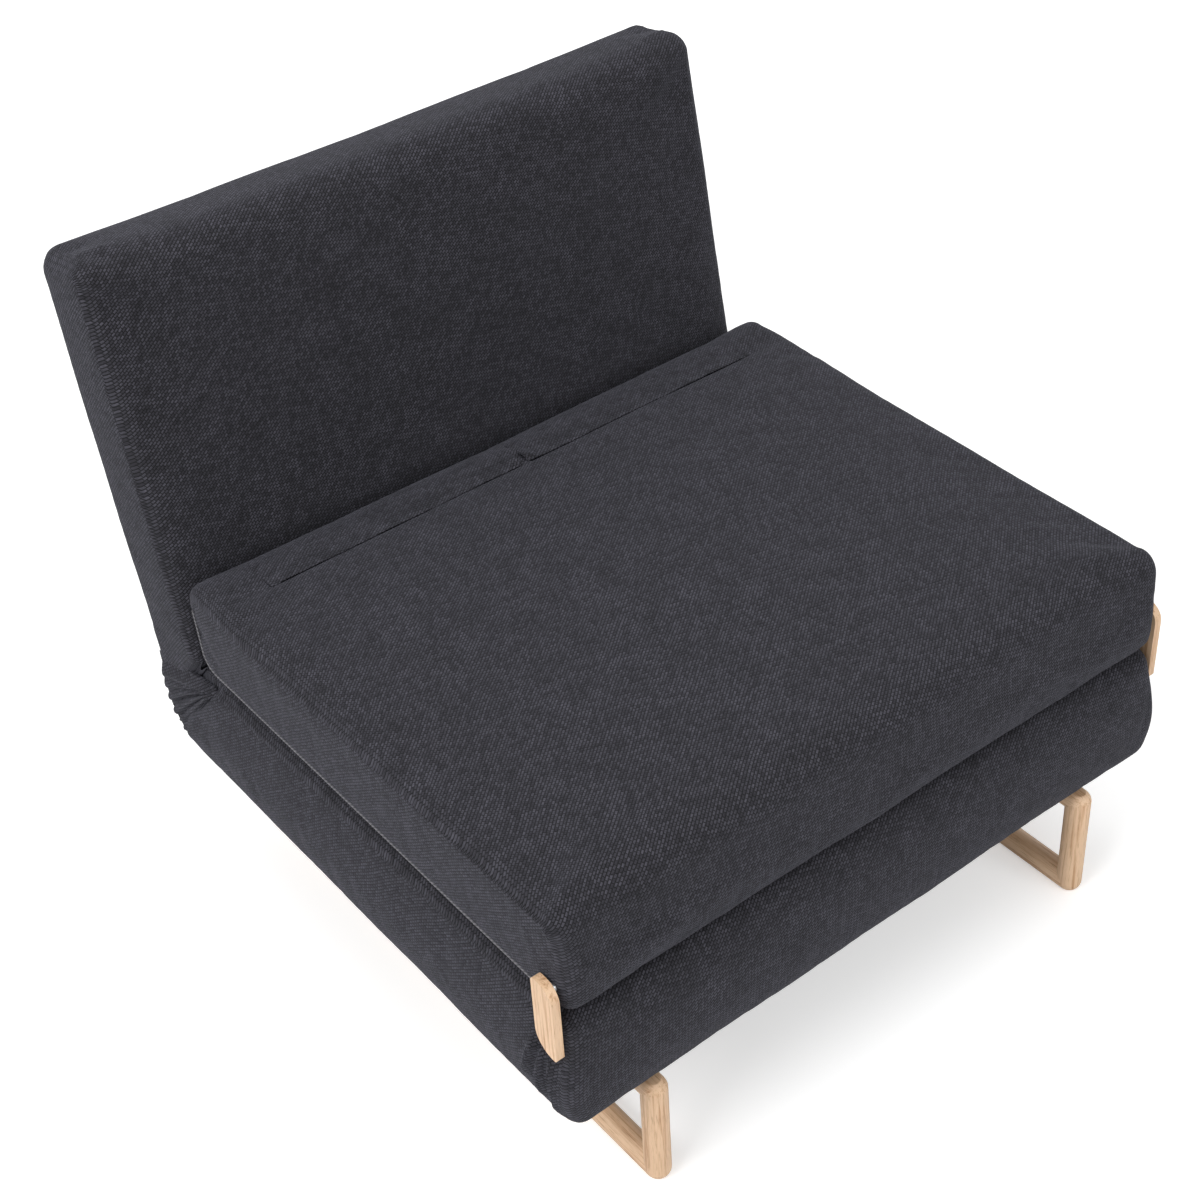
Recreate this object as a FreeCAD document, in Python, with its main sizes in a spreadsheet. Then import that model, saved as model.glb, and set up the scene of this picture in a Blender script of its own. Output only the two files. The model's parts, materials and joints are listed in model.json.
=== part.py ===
import FreeCAD, Part
import math
import os

import Sketcher
from FreeCAD import Placement, Rotation, Vector

# Convertible chair bed: a low upholstered chair on oak sled legs.
# The seat is a section that folds forward on two oak link plates, and the backrest reclines flat.
# X runs to the right seen from the front, Y from front to back, Z up, and the floor is Z = 0.
# Heights marked "fold" are counted from the plane where the folding section lies on the base.

doc = FreeCAD.newDocument("chair_bed")
sheet = doc.addObject("Spreadsheet::Sheet", "Dims")

DIMENSIONS = (
    ("width", 850, "width of every section over its side panels"),
    ("section_depth", 700, "depth of the folding section"),
    ("front_y", -455, "front plane of the base and the folding section"),
    ("fold_height", 318, "height of the plane between base and folding section"),
    ("base_thickness", 163, "base, from its underside to the fold plane"),
    ("flip_thickness", 137, "folding section at its side seams"),
    ("crown", 8, "rise of a cushion's face at its middle"),
    ("side_draw", 4, "how far a side panel is drawn in between its edges"),
    ("side_swell", 13, "how far the base's side panels swell out below the link plates"),
    ("front_swell", 8, "how far the base's front leans out towards its lower edge"),
    ("face_gap", 0.5, "from the fold plane to each of the two faces that meet there"),
    ("cloth", 2, "thickness of a cover with its lining"),
    ("slack", 0.3, "air between a cover and its foam"),
    ("edge_round", 22, "radius of the soft edges beside the fold plane"),
    ("seat_round", 31, "radius of the seat's upper front and rear edges"),
    ("crease_depth", 707, "front plane to the crease under the backrest"),
    ("back_height", 505, "backrest, from the crease to its top along its face"),
    ("back_thickness", 120, "thickness of the backrest"),
    ("back_tilt", 10.2, "lean of the backrest from upright, degrees"),
    ("hinge_depth", 75, "recline pivot below the base's face and behind the backrest's face"),
    ("tube", 30, "width of the frames' steel box tube"),
    ("tube_wall", 2, "wall of the steel box tube"),
    ("frame_half", 385, "middle of the chair to the outer side of the steel frames"),
    ("frame_front", 25, "front plane to the front rails"),
    ("base_frame_low", 2, "underside of the base to its frame"),
    ("flip_frame_low", 55, "fold plane to the folding section's frame"),
    ("slat_wide", 60, "width of a beech slat"),
    ("slat_thick", 8, "thickness of a beech slat"),
    ("link_spacing", 76, "distance between the two pivots of a link plate"),
    ("link_inset", 22, "front plane to the link plates' pivots"),
    ("plate_height", 100, "height of a link plate"),
    ("plate_depth", 32, "depth of a link plate, front to back"),
    ("plate_thick", 10, "thickness of a link plate"),
    ("plate_drop", 0, "fold plane down to the middle of the link plates"),
    ("plate_back", 1, "link plates' pivots back to the middle of the plates"),
    ("plate_inset", 0, "side seams in to the inner faces of the link plates"),
    ("plate_air", 0.7, "air between a link plate and the cloth behind it"),
    ("pin_radius", 5, "radius of a link plate's pivot bolts"),
    ("hinge_pin_radius", 6, "radius of the recline pins"),
    ("running_air", 0.05, "radial clearance of a pin in its bore"),
    ("open_air", 0.5, "radial clearance at the pivot that closes the loop of links"),
    ("bracket_thick", 6, "thickness of a pivot bracket"),
    ("bracket_wide", 28, "width of a pivot bracket"),
    ("arm_thick", 5, "thickness of a recline arm"),
    ("arm_wide", 28, "width of a recline arm"),
    ("bar_radius", 15, "radius of the oak bars of the sled legs"),
    ("bar_flat", 2, "depth of the flats planed on the runners and top rails"),
    ("sled_half", 321, "middle of the chair to the sled legs"),
    ("post_front", 4, "front plane to the front posts' middle"),
    ("post_rear", 716, "front plane to the rear posts' middle"),
    ("foot_pivot_half", 338, "middle of the chair to the pivots of the foot legs"),
    ("foot_pivot_rise", 70, "fold plane to the pivots of the foot legs"),
    ("foot_slot_y", 624, "front plane to the middle of the slots of the foot legs"),
    ("foot_wide", 22, "width of a foot leg"),
    ("foot_thick", 8, "thickness of a foot leg"),
    ("foot_pin_radius", 4, "radius of a foot leg's pivot bolt"),
    ("foot_air", 0.5, "floor to the tip of a foot leg when the bed is open"),
    ("tip_long", 22, "length of the rubber tip of a foot leg"),
    ("slot_wide", 12, "width of the slots that the foot legs lie in"),
    ("slot_outer", 352, "middle of the chair to the outer ends of the slots"),
    ("slot_inner", 9, "middle of the chair to the inner ends of the slots"),
    ("flap_depth", 37, "front to back size of the welts behind the slots"),
)

for row, (alias, number, meaning) in enumerate(DIMENSIONS, start=1):
    sheet.set("A%d" % row, meaning)
    sheet.set("B%d" % row, str(number))
    sheet.setAlias("B%d" % row, alias)
doc.recompute()


def size(alias):
    """One driving dimension as a number."""
    return float(sheet.get(alias))


SIDES = (("left", -1), ("right", 1))
X_AXIS = Vector(1, 0, 0)
Y_AXIS = Vector(0, 1, 0)

width = size("width")
front_y = size("front_y")
fold_z = size("fold_height")
low_z = fold_z - size("base_thickness")
cloth = size("cloth")
lining = cloth + size("slack")
tilt = size("back_tilt")

# The recline pivot is as far below the base's face as behind the backrest's face.
crease_y = front_y + size("crease_depth")
mitre_angle = math.radians((90 - tilt) / 2)
hinge_y = crease_y + size("hinge_depth") * math.tan(mitre_angle)
hinge_z = fold_z - size("hinge_depth")
hinge_fall = size("hinge_depth") * math.tan(mitre_angle)
lean = Placement(Vector(0, crease_y, fold_z), Rotation(X_AXIS, -tilt))

subparts = []


def keep(item, label):
    """Name a finished sub-part and list it for writing."""
    item.Label = label
    subparts.append(item)
    return item


def bind(item, **expressions):
    """Bind properties to expressions on the sheet; a double underscore stands for a dot."""
    for name, text in expressions.items():
        item.setExpression(name.replace("__", "."), str(text))
    return item


def box(name, low, extent):
    """A box from its lowest corner and its size, both given as expressions along X, Y and Z."""
    item = doc.addObject("Part::Box", name)
    bind(item, Length=extent[0], Width=extent[1], Height=extent[2])
    bind(item, Placement__Base__x=low[0], Placement__Base__y=low[1], Placement__Base__z=low[2])
    return item


def rod(name, radius, length, start, direction=Vector(0, 0, 1)):
    """A cylinder from the middle of its first face; radius and length are expressions."""
    item = doc.addObject("Part::Cylinder", name)
    bind(item, Radius=radius, Height=length)
    item.Placement = Placement(start, Rotation(Vector(0, 0, 1), direction))
    return item


def join(name, items):
    """The union of several solids."""
    item = doc.addObject("Part::MultiFuse", name)
    item.Shapes = items
    item.Refine = True
    return item


def subtract(name, base, tool):
    """A solid with another taken out of it."""
    item = doc.addObject("Part::Cut", name)
    item.Base = base
    item.Tool = tool
    return item


def feature(label, shape, placement=Placement()):
    """A sub-part whose form is worked out from the sheet's sizes with curves."""
    item = doc.addObject("Part::Feature", label)
    item.Shape = shape
    item.Placement = placement
    return keep(item, label)


# Straight pieces of the steel frames


def tube_solid(name, low, extent, along):
    """A steel box tube: a box with a smaller one taken out of it all the way along one axis."""
    outer = box(name + "_outer", low, extent)
    bore_low = [
        text if axis == along else "%s + Dims.tube_wall" % text for axis, text in enumerate(low)
    ]
    bore_extent = [
        text if axis == along else "%s - 2 * Dims.tube_wall" % text
        for axis, text in enumerate(extent)
    ]
    inner = box(name + "_inner", bore_low, bore_extent)
    return subtract(name + "_tube", outer, inner)


BASE_REAR_RAIL = 672
BASE_RAIL_END = 745
FLIP_REAR_RAIL = 641
FLIP_RAIL_END = 671
LEG_BOLT_RADIUS = 4
LEG_BOLT_TOP = low_z + 22
bolt_rows = {
    "front": front_y + size("frame_front") + size("tube") / 2,
    "rear": front_y + BASE_REAR_RAIL + size("tube") / 2,
}


def leg_drill(name, y):
    """Two upright rods where the sled legs' bolts run at one depth, with their running air."""
    rods = []
    for side, sign in SIDES:
        start = Vector(sign * size("sled_half"), y, 0)
        radius = LEG_BOLT_RADIUS + size("running_air")
        rods.append(rod("%s_%s" % (name, side), radius, LEG_BOLT_TOP, start))
    return join(name, rods)


def frame_ring(prefix, low_z_text, rear_from, side_to, bolted):
    """Four tubes round a section: front and rear rails between two side rails."""
    span = "2 * (Dims.frame_half - Dims.tube)"
    inner_x = "Dims.tube - Dims.frame_half"
    front = "Dims.front_y + Dims.frame_front"
    for name, start in (("front", front), ("rear", "Dims.front_y + %s" % rear_from)):
        label = "%s_%s_rail" % (prefix, name)
        rail = tube_solid(label, (inner_x, start, low_z_text), (span, "Dims.tube", "Dims.tube"), 0)
        if bolted:
            rail = subtract(label + "_bored", rail, leg_drill(label + "_drill", bolt_rows[name]))
        keep(rail, label)
    reach = "%s - Dims.frame_front" % side_to
    for side, sign in SIDES:
        edge = "-Dims.frame_half" if sign < 0 else "Dims.frame_half - Dims.tube"
        label = "%s_%s_rail" % (prefix, side)
        rail = tube_solid(label, (edge, front, low_z_text), ("Dims.tube", reach, "Dims.tube"), 1)
        keep(rail, label)


base_frame_z = "Dims.fold_height - Dims.base_thickness + Dims.base_frame_low"
flip_frame_z = "Dims.fold_height + Dims.flip_frame_low"
frame_ring("base", base_frame_z, BASE_REAR_RAIL, BASE_RAIL_END, True)
frame_ring("flip", flip_frame_z, FLIP_REAR_RAIL, FLIP_RAIL_END, False)

# The backrest's frame is drawn upright, face at Y = 0 and crease at Z = 0, and then leaned back.
BACK_TUBE_DEPTH = 25
BACK_POST_LOW = -38
BACK_POST_TOP = 482
back_tube_y = "Dims.hinge_depth - %s / 2" % BACK_TUBE_DEPTH
arm_air = size("running_air") * 10
back_half = "(Dims.frame_half - Dims.arm_thick - %s)" % arm_air

for side, sign in SIDES:
    post_x = "-%s" % back_half if sign < 0 else "%s - Dims.tube" % back_half
    post_extent = ("Dims.tube", BACK_TUBE_DEPTH, BACK_POST_TOP - BACK_POST_LOW)
    post = tube_solid("back_%s_post" % side, (post_x, back_tube_y, BACK_POST_LOW), post_extent, 2)
    post.Placement = lean
    keep(post, "back_%s_post" % side)

back_span = "2 * (%s - Dims.tube)" % back_half
back_rails = (
    ("back_bottom_rail", BACK_POST_LOW),
    ("back_top_rail", BACK_POST_TOP - size("tube")),
)
for label, rail_low in back_rails:
    rail_start = ("Dims.tube - %s" % back_half, back_tube_y, rail_low)
    rail = tube_solid(label, rail_start, (back_span, BACK_TUBE_DEPTH, "Dims.tube"), 0)
    rail.Placement = lean
    keep(rail, label)

# Slats and webbing that carry the foam


def strip_set(label, low, extent, step, count, placement=Placement()):
    """Equal flat strips side by side, each a solid of its own."""
    strips = []
    for number in range(count):
        shape = Part.makeBox(*extent)
        shape.translate(low + step * number)
        strips.append(shape)
    return feature(label, Part.makeCompound(strips), placement)


BASE_SLAT_FIRST = 62
BASE_SLAT_STEP = 108
BASE_SLAT_COUNT = 6
BASE_SLAT_END = 5
FLIP_SLAT_FIRST = 80
FLIP_SLAT_STEP = 110
FLIP_SLAT_COUNT = 5
WEBBING_THICK = 2
WEBBING_FIRST = 30
WEBBING_STEP = 102
WEBBING_COUNT = 4

slat_wide = size("slat_wide")
slat_thick = size("slat_thick")
frame_half = size("frame_half")
tube = size("tube")
frame_top = low_z + size("base_frame_low") + tube
slat_reach = 2 * (frame_half - BASE_SLAT_END)
strip_set(
    "base_slats",
    Vector(-slat_reach / 2, front_y + BASE_SLAT_FIRST, frame_top),
    (slat_reach, slat_wide, slat_thick),
    Vector(0, BASE_SLAT_STEP, 0),
    BASE_SLAT_COUNT,
)
inner_reach = 2 * (frame_half - tube)
flip_slat_z = fold_z + size("flip_frame_low") + (tube - slat_thick) / 2
strip_set(
    "flip_slats",
    Vector(-inner_reach / 2, front_y + FLIP_SLAT_FIRST, flip_slat_z),
    (inner_reach, slat_wide, slat_thick),
    Vector(0, FLIP_SLAT_STEP, 0),
    FLIP_SLAT_COUNT,
)
back_reach = 2 * (frame_half - size("arm_thick") - arm_air - tube)
strip_set(
    "back_webbing",
    Vector(-back_reach / 2, size("hinge_depth") - WEBBING_THICK / 2, WEBBING_FIRST),
    (back_reach, WEBBING_THICK, slat_wide),
    Vector(0, 0, WEBBING_STEP),
    WEBBING_COUNT,
    lean,
)

# Flat bars with round eyes: brackets, recline arms and foot legs


def eye_bar(name, reach, wide, thick, bores):
    """A flat bar on the X = 0 plane from an eye at the origin to its far end along Z.

    bores lists (height, radius) pairs of holes through the bar.
    """
    half = "%s / 2" % wide
    blank = join(
        name + "_blank",
        [
            box(name + "_flat", (0, "-(%s)" % half, 0), (thick, wide, reach)),
            rod(name + "_near", half, thick, Vector(0, 0, 0), X_AXIS),
        ],
    )
    drills = []
    for number, (height, radius) in enumerate(bores):
        drill = rod("%s_drill_%d" % (name, number), radius, thick, Vector(0, 0, height), X_AXIS)
        drills.append(drill)
    tool = drills[0] if len(drills) == 1 else join(name + "_drills", drills)
    return subtract(name + "_bar", blank, tool)


pivot_y = front_y + size("link_inset")
half_spacing = size("link_spacing") / 2
bracket_thick = size("bracket_thick")
running_bore = "Dims.pin_radius + Dims.running_air"
open_bore = "Dims.pin_radius + Dims.open_air"
upside_down = Rotation(X_AXIS, 180)
BASE_BRACKET_REACH = 112
FLIP_BRACKET_REACH = 42

for side, sign in SIDES:
    bracket_x = frame_half if sign > 0 else -frame_half - bracket_thick
    base_bracket = eye_bar(
        "base_%s_bracket" % side,
        BASE_BRACKET_REACH,
        "Dims.bracket_wide",
        "Dims.bracket_thick",
        [(0, running_bore)],
    )
    base_bracket.Placement = Placement(Vector(bracket_x, pivot_y, fold_z - half_spacing), upside_down)
    keep(base_bracket, "base_%s_bracket" % side)
    flip_bracket = eye_bar(
        "flip_%s_bracket" % side,
        FLIP_BRACKET_REACH,
        "Dims.bracket_wide",
        "Dims.bracket_thick",
        [(0, open_bore if sign > 0 else running_bore)],
    )
    flip_bracket.Placement = Placement(Vector(bracket_x, pivot_y, fold_z + half_spacing), Rotation())
    keep(flip_bracket, "flip_%s_bracket" % side)

ARM_REACH_DOWN = 78
ARM_REACH_UP = 150
LOWER_ARM_LEAN = 28
lower_arm_turn = Rotation(X_AXIS, 180 - LOWER_ARM_LEAN)
hinge_bore = "Dims.hinge_pin_radius + Dims.running_air"
arm_thick = size("arm_thick")
back_outer = frame_half - arm_thick - arm_air
hinge_centre = Vector(0, hinge_y, hinge_z)
PIN_HEAD = 3
PIN_HEAD_RADIUS = 10

for side, sign in SIDES:
    lower_x = frame_half if sign > 0 else -frame_half - arm_thick
    lower = eye_bar(
        "recline_%s_lower_arm" % side,
        ARM_REACH_DOWN,
        "Dims.arm_wide",
        "Dims.arm_thick",
        [(0, hinge_bore)],
    )
    lower.Placement = Placement(hinge_centre + Vector(lower_x, 0, 0), lower_arm_turn)
    keep(lower, "recline_%s_lower_arm" % side)
    upper_x = back_outer if sign > 0 else -back_outer - arm_thick
    upper = eye_bar(
        "recline_%s_upper_arm" % side,
        ARM_REACH_UP,
        "Dims.arm_wide",
        "Dims.arm_thick",
        [(0, hinge_bore)],
    )
    upper.Placement = Placement(hinge_centre + Vector(upper_x, 0, 0), Rotation(X_AXIS, -tilt))
    keep(upper, "recline_%s_upper_arm" % side)

    # Recline pin: a rivet through both arms with a head at each end
    outward = X_AXIS * sign
    pin_start = hinge_centre + X_AXIS * sign * (back_outer - PIN_HEAD - arm_air)
    grip = 2 * arm_thick + 3 * arm_air
    far_head = pin_start + outward * (grip + PIN_HEAD)
    pin_long = grip + 2 * PIN_HEAD
    label = "recline_%s_pin" % side
    pin = join(
        label + "_solid",
        [
            rod(label + "_shank", "Dims.hinge_pin_radius", pin_long, pin_start, outward),
            rod(label + "_inner_head", PIN_HEAD_RADIUS, PIN_HEAD, pin_start, outward),
            rod(label + "_outer_head", PIN_HEAD_RADIUS, PIN_HEAD, far_head, outward),
        ],
    )
    keep(pin, label)

# Link plates of oak, with blind bores for their pivot bolts

PLATE_BORE = 6.5
# Distance within which two points of a board count as one
SAME_SPOT = 0.01
# Each corner's place, as (front or rear, down or up) signs, with its radius
PLATE_ROUNDS = (((-1, 1), 20), ((1, -1), 26), ((-1, -1), 3), ((1, 1), 6))
plate_inner = width / 2 - size("plate_inset")


def link_plate(label, sign):
    """A padded upright rectangle with its vertical edges rounded and two blind bores."""
    body = doc.addObject("PartDesign::Body", label)
    plane = [part for part in body.Origin.OriginFeatures if part.Role == "YZ_Plane"][0]
    outline = body.newObject("Sketcher::SketchObject", label + "_outline")
    outline.AttachmentSupport = [(plane, "")]
    outline.MapMode = "FlatFace"
    half_deep = size("plate_depth") / 2
    half_tall = size("plate_height") / 2
    drop = size("plate_drop")
    back = size("plate_back")
    corners = [
        Vector(-half_deep, -half_tall, 0),
        Vector(half_deep, -half_tall, 0),
        Vector(half_deep, half_tall, 0),
        Vector(-half_deep, half_tall, 0),
    ]
    for number, corner in enumerate(corners):
        outline.addGeometry(Part.LineSegment(corner, corners[(number + 1) % 4]), False)
    for number in range(4):
        joint = Sketcher.Constraint("Coincident", number, 2, (number + 1) % 4, 1)
        outline.addConstraint(joint)
    for number, kind in enumerate(("Horizontal", "Vertical", "Horizontal", "Vertical")):
        outline.addConstraint(Sketcher.Constraint(kind, number))
    outline.addConstraint(Sketcher.Constraint("Symmetric", 0, 1, 2, 1, -1, 1))
    deep = outline.addConstraint(Sketcher.Constraint("DistanceX", 0, 1, 0, 2, 2 * half_deep))
    tall = outline.addConstraint(Sketcher.Constraint("DistanceY", 1, 1, 1, 2, 2 * half_tall))
    outline.setExpression("Constraints[%d]" % deep, "Dims.plate_depth")
    outline.setExpression("Constraints[%d]" % tall, "Dims.plate_height")
    pad = body.newObject("PartDesign::Pad", label + "_board")
    pad.Profile = outline
    pad.setExpression("Length", "Dims.plate_thick")
    pad.Reversed = sign < 0
    doc.recompute()

    drilling = body.newObject("Sketcher::SketchObject", label + "_drilling")
    drilling.AttachmentSupport = [(plane, "")]
    drilling.MapMode = "FlatFace"
    for number, way in enumerate((-1, 1)):
        rise = way * half_spacing + drop
        centre = Vector(-back, rise, 0)
        drilling.addGeometry(Part.Circle(centre, Vector(0, 0, 1), size("pin_radius")), False)
        radius = drilling.addConstraint(Sketcher.Constraint("Radius", number, size("pin_radius")))
        drilling.setExpression("Constraints[%d]" % radius, "Dims.pin_radius")
        ahead = drilling.addConstraint(Sketcher.Constraint("DistanceX", number, 3, -back))
        drilling.setExpression("Constraints[%d]" % ahead, "-Dims.plate_back")
        height = drilling.addConstraint(Sketcher.Constraint("DistanceY", number, 3, rise))
        height_text = "%d * Dims.link_spacing / 2 + Dims.plate_drop" % way
        drilling.setExpression("Constraints[%d]" % height, height_text)
    pocket = body.newObject("PartDesign::Pocket", label + "_bores")
    pocket.Profile = drilling
    pocket.Length = PLATE_BORE
    pocket.Reversed = sign > 0
    doc.recompute()

    def upright(edge, deep_sign, tall_sign):
        """True for the edge along X at one corner of the board."""
        middle = edge.CenterOfMass
        off_y = abs(middle.y - deep_sign * half_deep)
        off_z = abs(middle.z - tall_sign * half_tall)
        off_length = abs(edge.Length - size("plate_thick"))
        return max(off_y, off_z, off_length) < SAME_SPOT

    def corner_fillet(name, spot, radius):
        """Round one of the board's corners; spot is (front or rear, up or down) as signs."""
        base = body.Tip
        names = [
            "Edge%d" % (number + 1)
            for number, edge in enumerate(base.Shape.Edges)
            if upright(edge, *spot)
        ]
        fillet = body.newObject("PartDesign::Fillet", name)
        fillet.Base = (base, names)
        fillet.Radius = radius
        doc.recompute()

    for number, (spot, radius) in enumerate(PLATE_ROUNDS):
        corner_fillet("%s_round_%d" % (label, number), spot, radius)
    place = Vector(sign * plate_inner, pivot_y + back, fold_z - drop)
    body.Placement = Placement(place, Rotation())
    keep(body, label)


BOLT_FLANGE = 2.5
BOLT_FLANGE_RADIUS = 8.5
NUT_THICK = 5

for side, sign in SIDES:
    link_plate("%s_link_plate" % side, sign)
    outward = X_AXIS * sign
    for level, way in (("lower", -1), ("upper", 1)):
        label = "%s_%s_pivot_bolt" % (side, level)
        nut_x = frame_half - NUT_THICK - arm_air
        start = Vector(sign * nut_x, pivot_y, fold_z + way * half_spacing)
        reach = plate_inner + PLATE_BORE - nut_x
        flange_at = start + outward * (NUT_THICK + bracket_thick + 2 * arm_air)
        bolt = join(
            label + "_solid",
            [
                rod(label + "_shank", "Dims.pin_radius", reach, start, outward),
                rod(label + "_nut", BOLT_FLANGE_RADIUS, NUT_THICK, start, outward),
                rod(label + "_flange", BOLT_FLANGE_RADIUS, BOLT_FLANGE, flange_at, outward),
            ],
        )
        keep(bolt, label)

# Sled legs: four round oak bars to a side, mitred at their corners and rounded off like a ball

runner_z = size("bar_radius") - size("bar_flat")
top_rail_z = low_z - runner_z
sled_front = front_y + size("post_front")
sled_rear = front_y + size("post_rear")
MITRES = ((1, Vector(0, 1, 1)), (-1, Vector(0, 1, -1)))


def waste_block(name, across, deep, tall, placement):
    """A box that is taken off a bar."""
    item = doc.addObject("Part::Box", name)
    item.Length = across
    item.Width = deep
    item.Height = tall
    item.Placement = placement
    return item


def oak_bar(name, centre, length, turn, upright):
    """A round bar along Z between two corners of a frame that lies on its +Y side.

    A ball closes each end and a mitre at 45 degrees leaves this bar's half of the corner. The
    frame's outer sides are planed: an upright bar has a flat at each end and a lying bar has one
    along its own -Y side.
    """
    radius = size("bar_radius")
    flat = radius - size("bar_flat")
    across = 4 * radius
    shaft = rod(name + "_shaft", "Dims.bar_radius", length, Vector(0, 0, -length / 2))
    pieces = [shaft]
    wastes = []
    for way, normal in MITRES:
        corner = Vector(0, 0, way * length / 2)
        end = "top" if way > 0 else "low"
        ball = doc.addObject("Part::Sphere", "%s_ball_%s" % (name, end))
        bind(ball, Radius="Dims.bar_radius")
        ball.Placement = Placement(corner, Rotation())
        pieces.append(ball)
        facing = Rotation(Vector(0, 0, 1), normal)
        start = corner + facing.multVec(Vector(-across / 2, -across / 2, 0))
        spot = Placement(start, facing)
        wastes.append(waste_block("%s_mitre_%s" % (name, end), across, across, across / 2, spot))
        if upright:
            low = min(way * (length / 2 + flat), way * (length / 2 + flat + radius))
            spot = Placement(Vector(-across / 2, -across / 2, low), Rotation())
            wastes.append(waste_block("%s_plane_%s" % (name, end), across, across, radius, spot))
    if not upright:
        tall = length + across
        spot = Placement(Vector(-across / 2, -flat - across / 2, -tall / 2), Rotation())
        wastes.append(waste_block(name + "_plane", across, across / 2, tall, spot))
    bar = subtract(name + "_bar", join(name + "_round", pieces), join(name + "_waste", wastes))
    bar.Placement = Placement(centre, turn)
    return bar


post_length = top_rail_z - runner_z
rail_length = sled_rear - sled_front
mid_z = (top_rail_z + runner_z) / 2
mid_y = (sled_front + sled_rear) / 2

half_round = Rotation(Vector(0, 0, 1), 180)
# A quarter turn about X lays a bar along Y with its own +Y side up, or down the other way.
laid_up = Rotation(X_AXIS, 90)
laid_down = Rotation(X_AXIS, -90)

for side, sign in SIDES:
    sled_x = sign * size("sled_half")
    for name, centre, length, turn, upright in (
        ("front_post", Vector(sled_x, sled_front, mid_z), post_length, Rotation(), True),
        ("rear_post", Vector(sled_x, sled_rear, mid_z), post_length, half_round, True),
        ("runner", Vector(sled_x, mid_y, runner_z), rail_length, laid_up, False),
        ("top_rail", Vector(sled_x, mid_y, top_rail_z), rail_length, laid_down, False),
    ):
        label = "%s_%s" % (side, name)
        bar = oak_bar(label, centre, length, turn, upright)
        if name == "top_rail":
            bores = [
                rod("%s_bore_%s" % (label, row), LEG_BOLT_RADIUS, low_z, Vector(sled_x, y, 0))
                for row, y in bolt_rows.items()
            ]
            bar = subtract(label + "_bored", bar, join(label + "_bores", bores))
        keep(bar, label)

# Cushion forms: three side-view outlines, left, middle and right, lofted across the chair


def outset(corners, distance):
    """A convex outline, listed anticlockwise, with every side moved out by a distance."""
    moved = []
    count = len(corners)
    for number in range(count):
        before = corners[number - 1]
        here = corners[number]
        after = corners[(number + 1) % count]
        first = (here[0] - before[0], here[1] - before[1])
        second = (after[0] - here[0], after[1] - here[1])
        first_length = math.hypot(*first)
        second_length = math.hypot(*second)
        normal_a = (first[1] / first_length, -first[0] / first_length)
        normal_b = (second[1] / second_length, -second[0] / second_length)
        scale = distance / (1 + normal_a[0] * normal_b[0] + normal_a[1] * normal_b[1])
        out_y = scale * (normal_a[0] + normal_b[0])
        out_z = scale * (normal_a[1] + normal_b[1])
        moved.append((here[0] + out_y, here[1] + out_z))
    return moved


def outline_wire(x, corners, rounds, bulges):
    """A closed outline in the plane at x: sides that arch out by their bulge, joined by corner arcs.

    corners are (y, z) pairs, anticlockwise; side n runs from corner n to corner n + 1.
    """
    count = len(corners)
    points = [Vector(x, y, z) for y, z in corners]
    starts = []
    ends = []
    middles = []
    for number in range(count):
        here = points[number]
        back = (points[number - 1] - here).normalize()
        ahead = (points[(number + 1) % count] - here).normalize()
        half_angle = back.getAngle(ahead) / 2
        reach = rounds[number] / math.tan(half_angle)
        inward = (back + ahead).normalize()
        centre = here + inward * (rounds[number] / math.sin(half_angle))
        ends.append(here + back * reach)
        starts.append(here + ahead * reach)
        middles.append(centre - inward * rounds[number])
    edges = []
    for number in range(count):
        edges.append(Part.Arc(ends[number], middles[number], starts[number]).toShape())
        start = starts[number]
        end = ends[(number + 1) % count]
        along = (end - start).normalize()
        outward = Vector(0, along.z, -along.y)
        top = (start + end) * 0.5 + outward * max(bulges[number], 0.01)
        edges.append(Part.Arc(start, top, end).toShape())
    return Part.Wire(edges)


# Distance within which two faces count as touching when a loft is trimmed
FUZZ = 0.001
# How far the front-view line of the side panels runs on above and below a cushion
LINE_BEYOND = 60


def cushion(form, grow=0.0):
    """A cushion across the chair: crowned faces, and side panels that follow the form's sides.

    A form holds its side-view corners, their rounds, how far each side-view edge arches at the
    middle of the chair and at its ends, and the front-view line of its side panels, as (z, offset)
    points from the side seams that arcs run through by threes. grow moves every face outwards.
    """
    corners = outset(form["corners"], grow)
    rounds = [radius + grow for radius in form["rounds"]]
    seam = width / 2 + grow
    end = seam + max(offset for z, offset in form["sides"]) + 1
    wires = []
    for x, name in ((-end, "end_bulges"), (0, "bulges"), (end, "end_bulges")):
        wires.append(outline_wire(x, corners, rounds, form[name]))
    crowned = Part.makeLoft(wires, True, False)
    near_y = min(y for y, z in corners) - 2 * size("crown")
    far_y = max(y for y, z in corners) + 2 * size("crown")
    first = form["sides"][0]
    last = form["sides"][-1]
    line = [(first[0] - LINE_BEYOND, first[1])] + form["sides"] + [(last[0] + LINE_BEYOND, last[1])]
    right = [Vector(seam + offset, near_y, z) for z, offset in line]
    left = [Vector(-point.x, near_y, point.z) for point in reversed(right)]
    curves = []
    for points in (right, left):
        curves.append(Part.LineSegment(points[0], points[1]))
        for number in range(1, len(points) - 3, 2):
            curves.append(Part.Arc(points[number], points[number + 1], points[number + 2]))
        curves.append(Part.LineSegment(points[-2], points[-1]))
        closing = left[0] if points is right else right[0]
        curves.append(Part.LineSegment(points[-1], closing))
    face = Part.Face(Part.Wire([curve.toShape() for curve in curves]))
    sides = face.extrude(Vector(0, far_y - near_y, 0))
    return crowned.common((sides,), FUZZ)


def slab(points, half):
    """A prism across the chair from a (y, z) outline, from -half to half along X."""
    ring = [Vector(-half, y, z) for y, z in points]
    return Part.Face(Part.makePolygon(ring + ring[:1])).extrude(Vector(2 * half, 0, 0))


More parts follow.
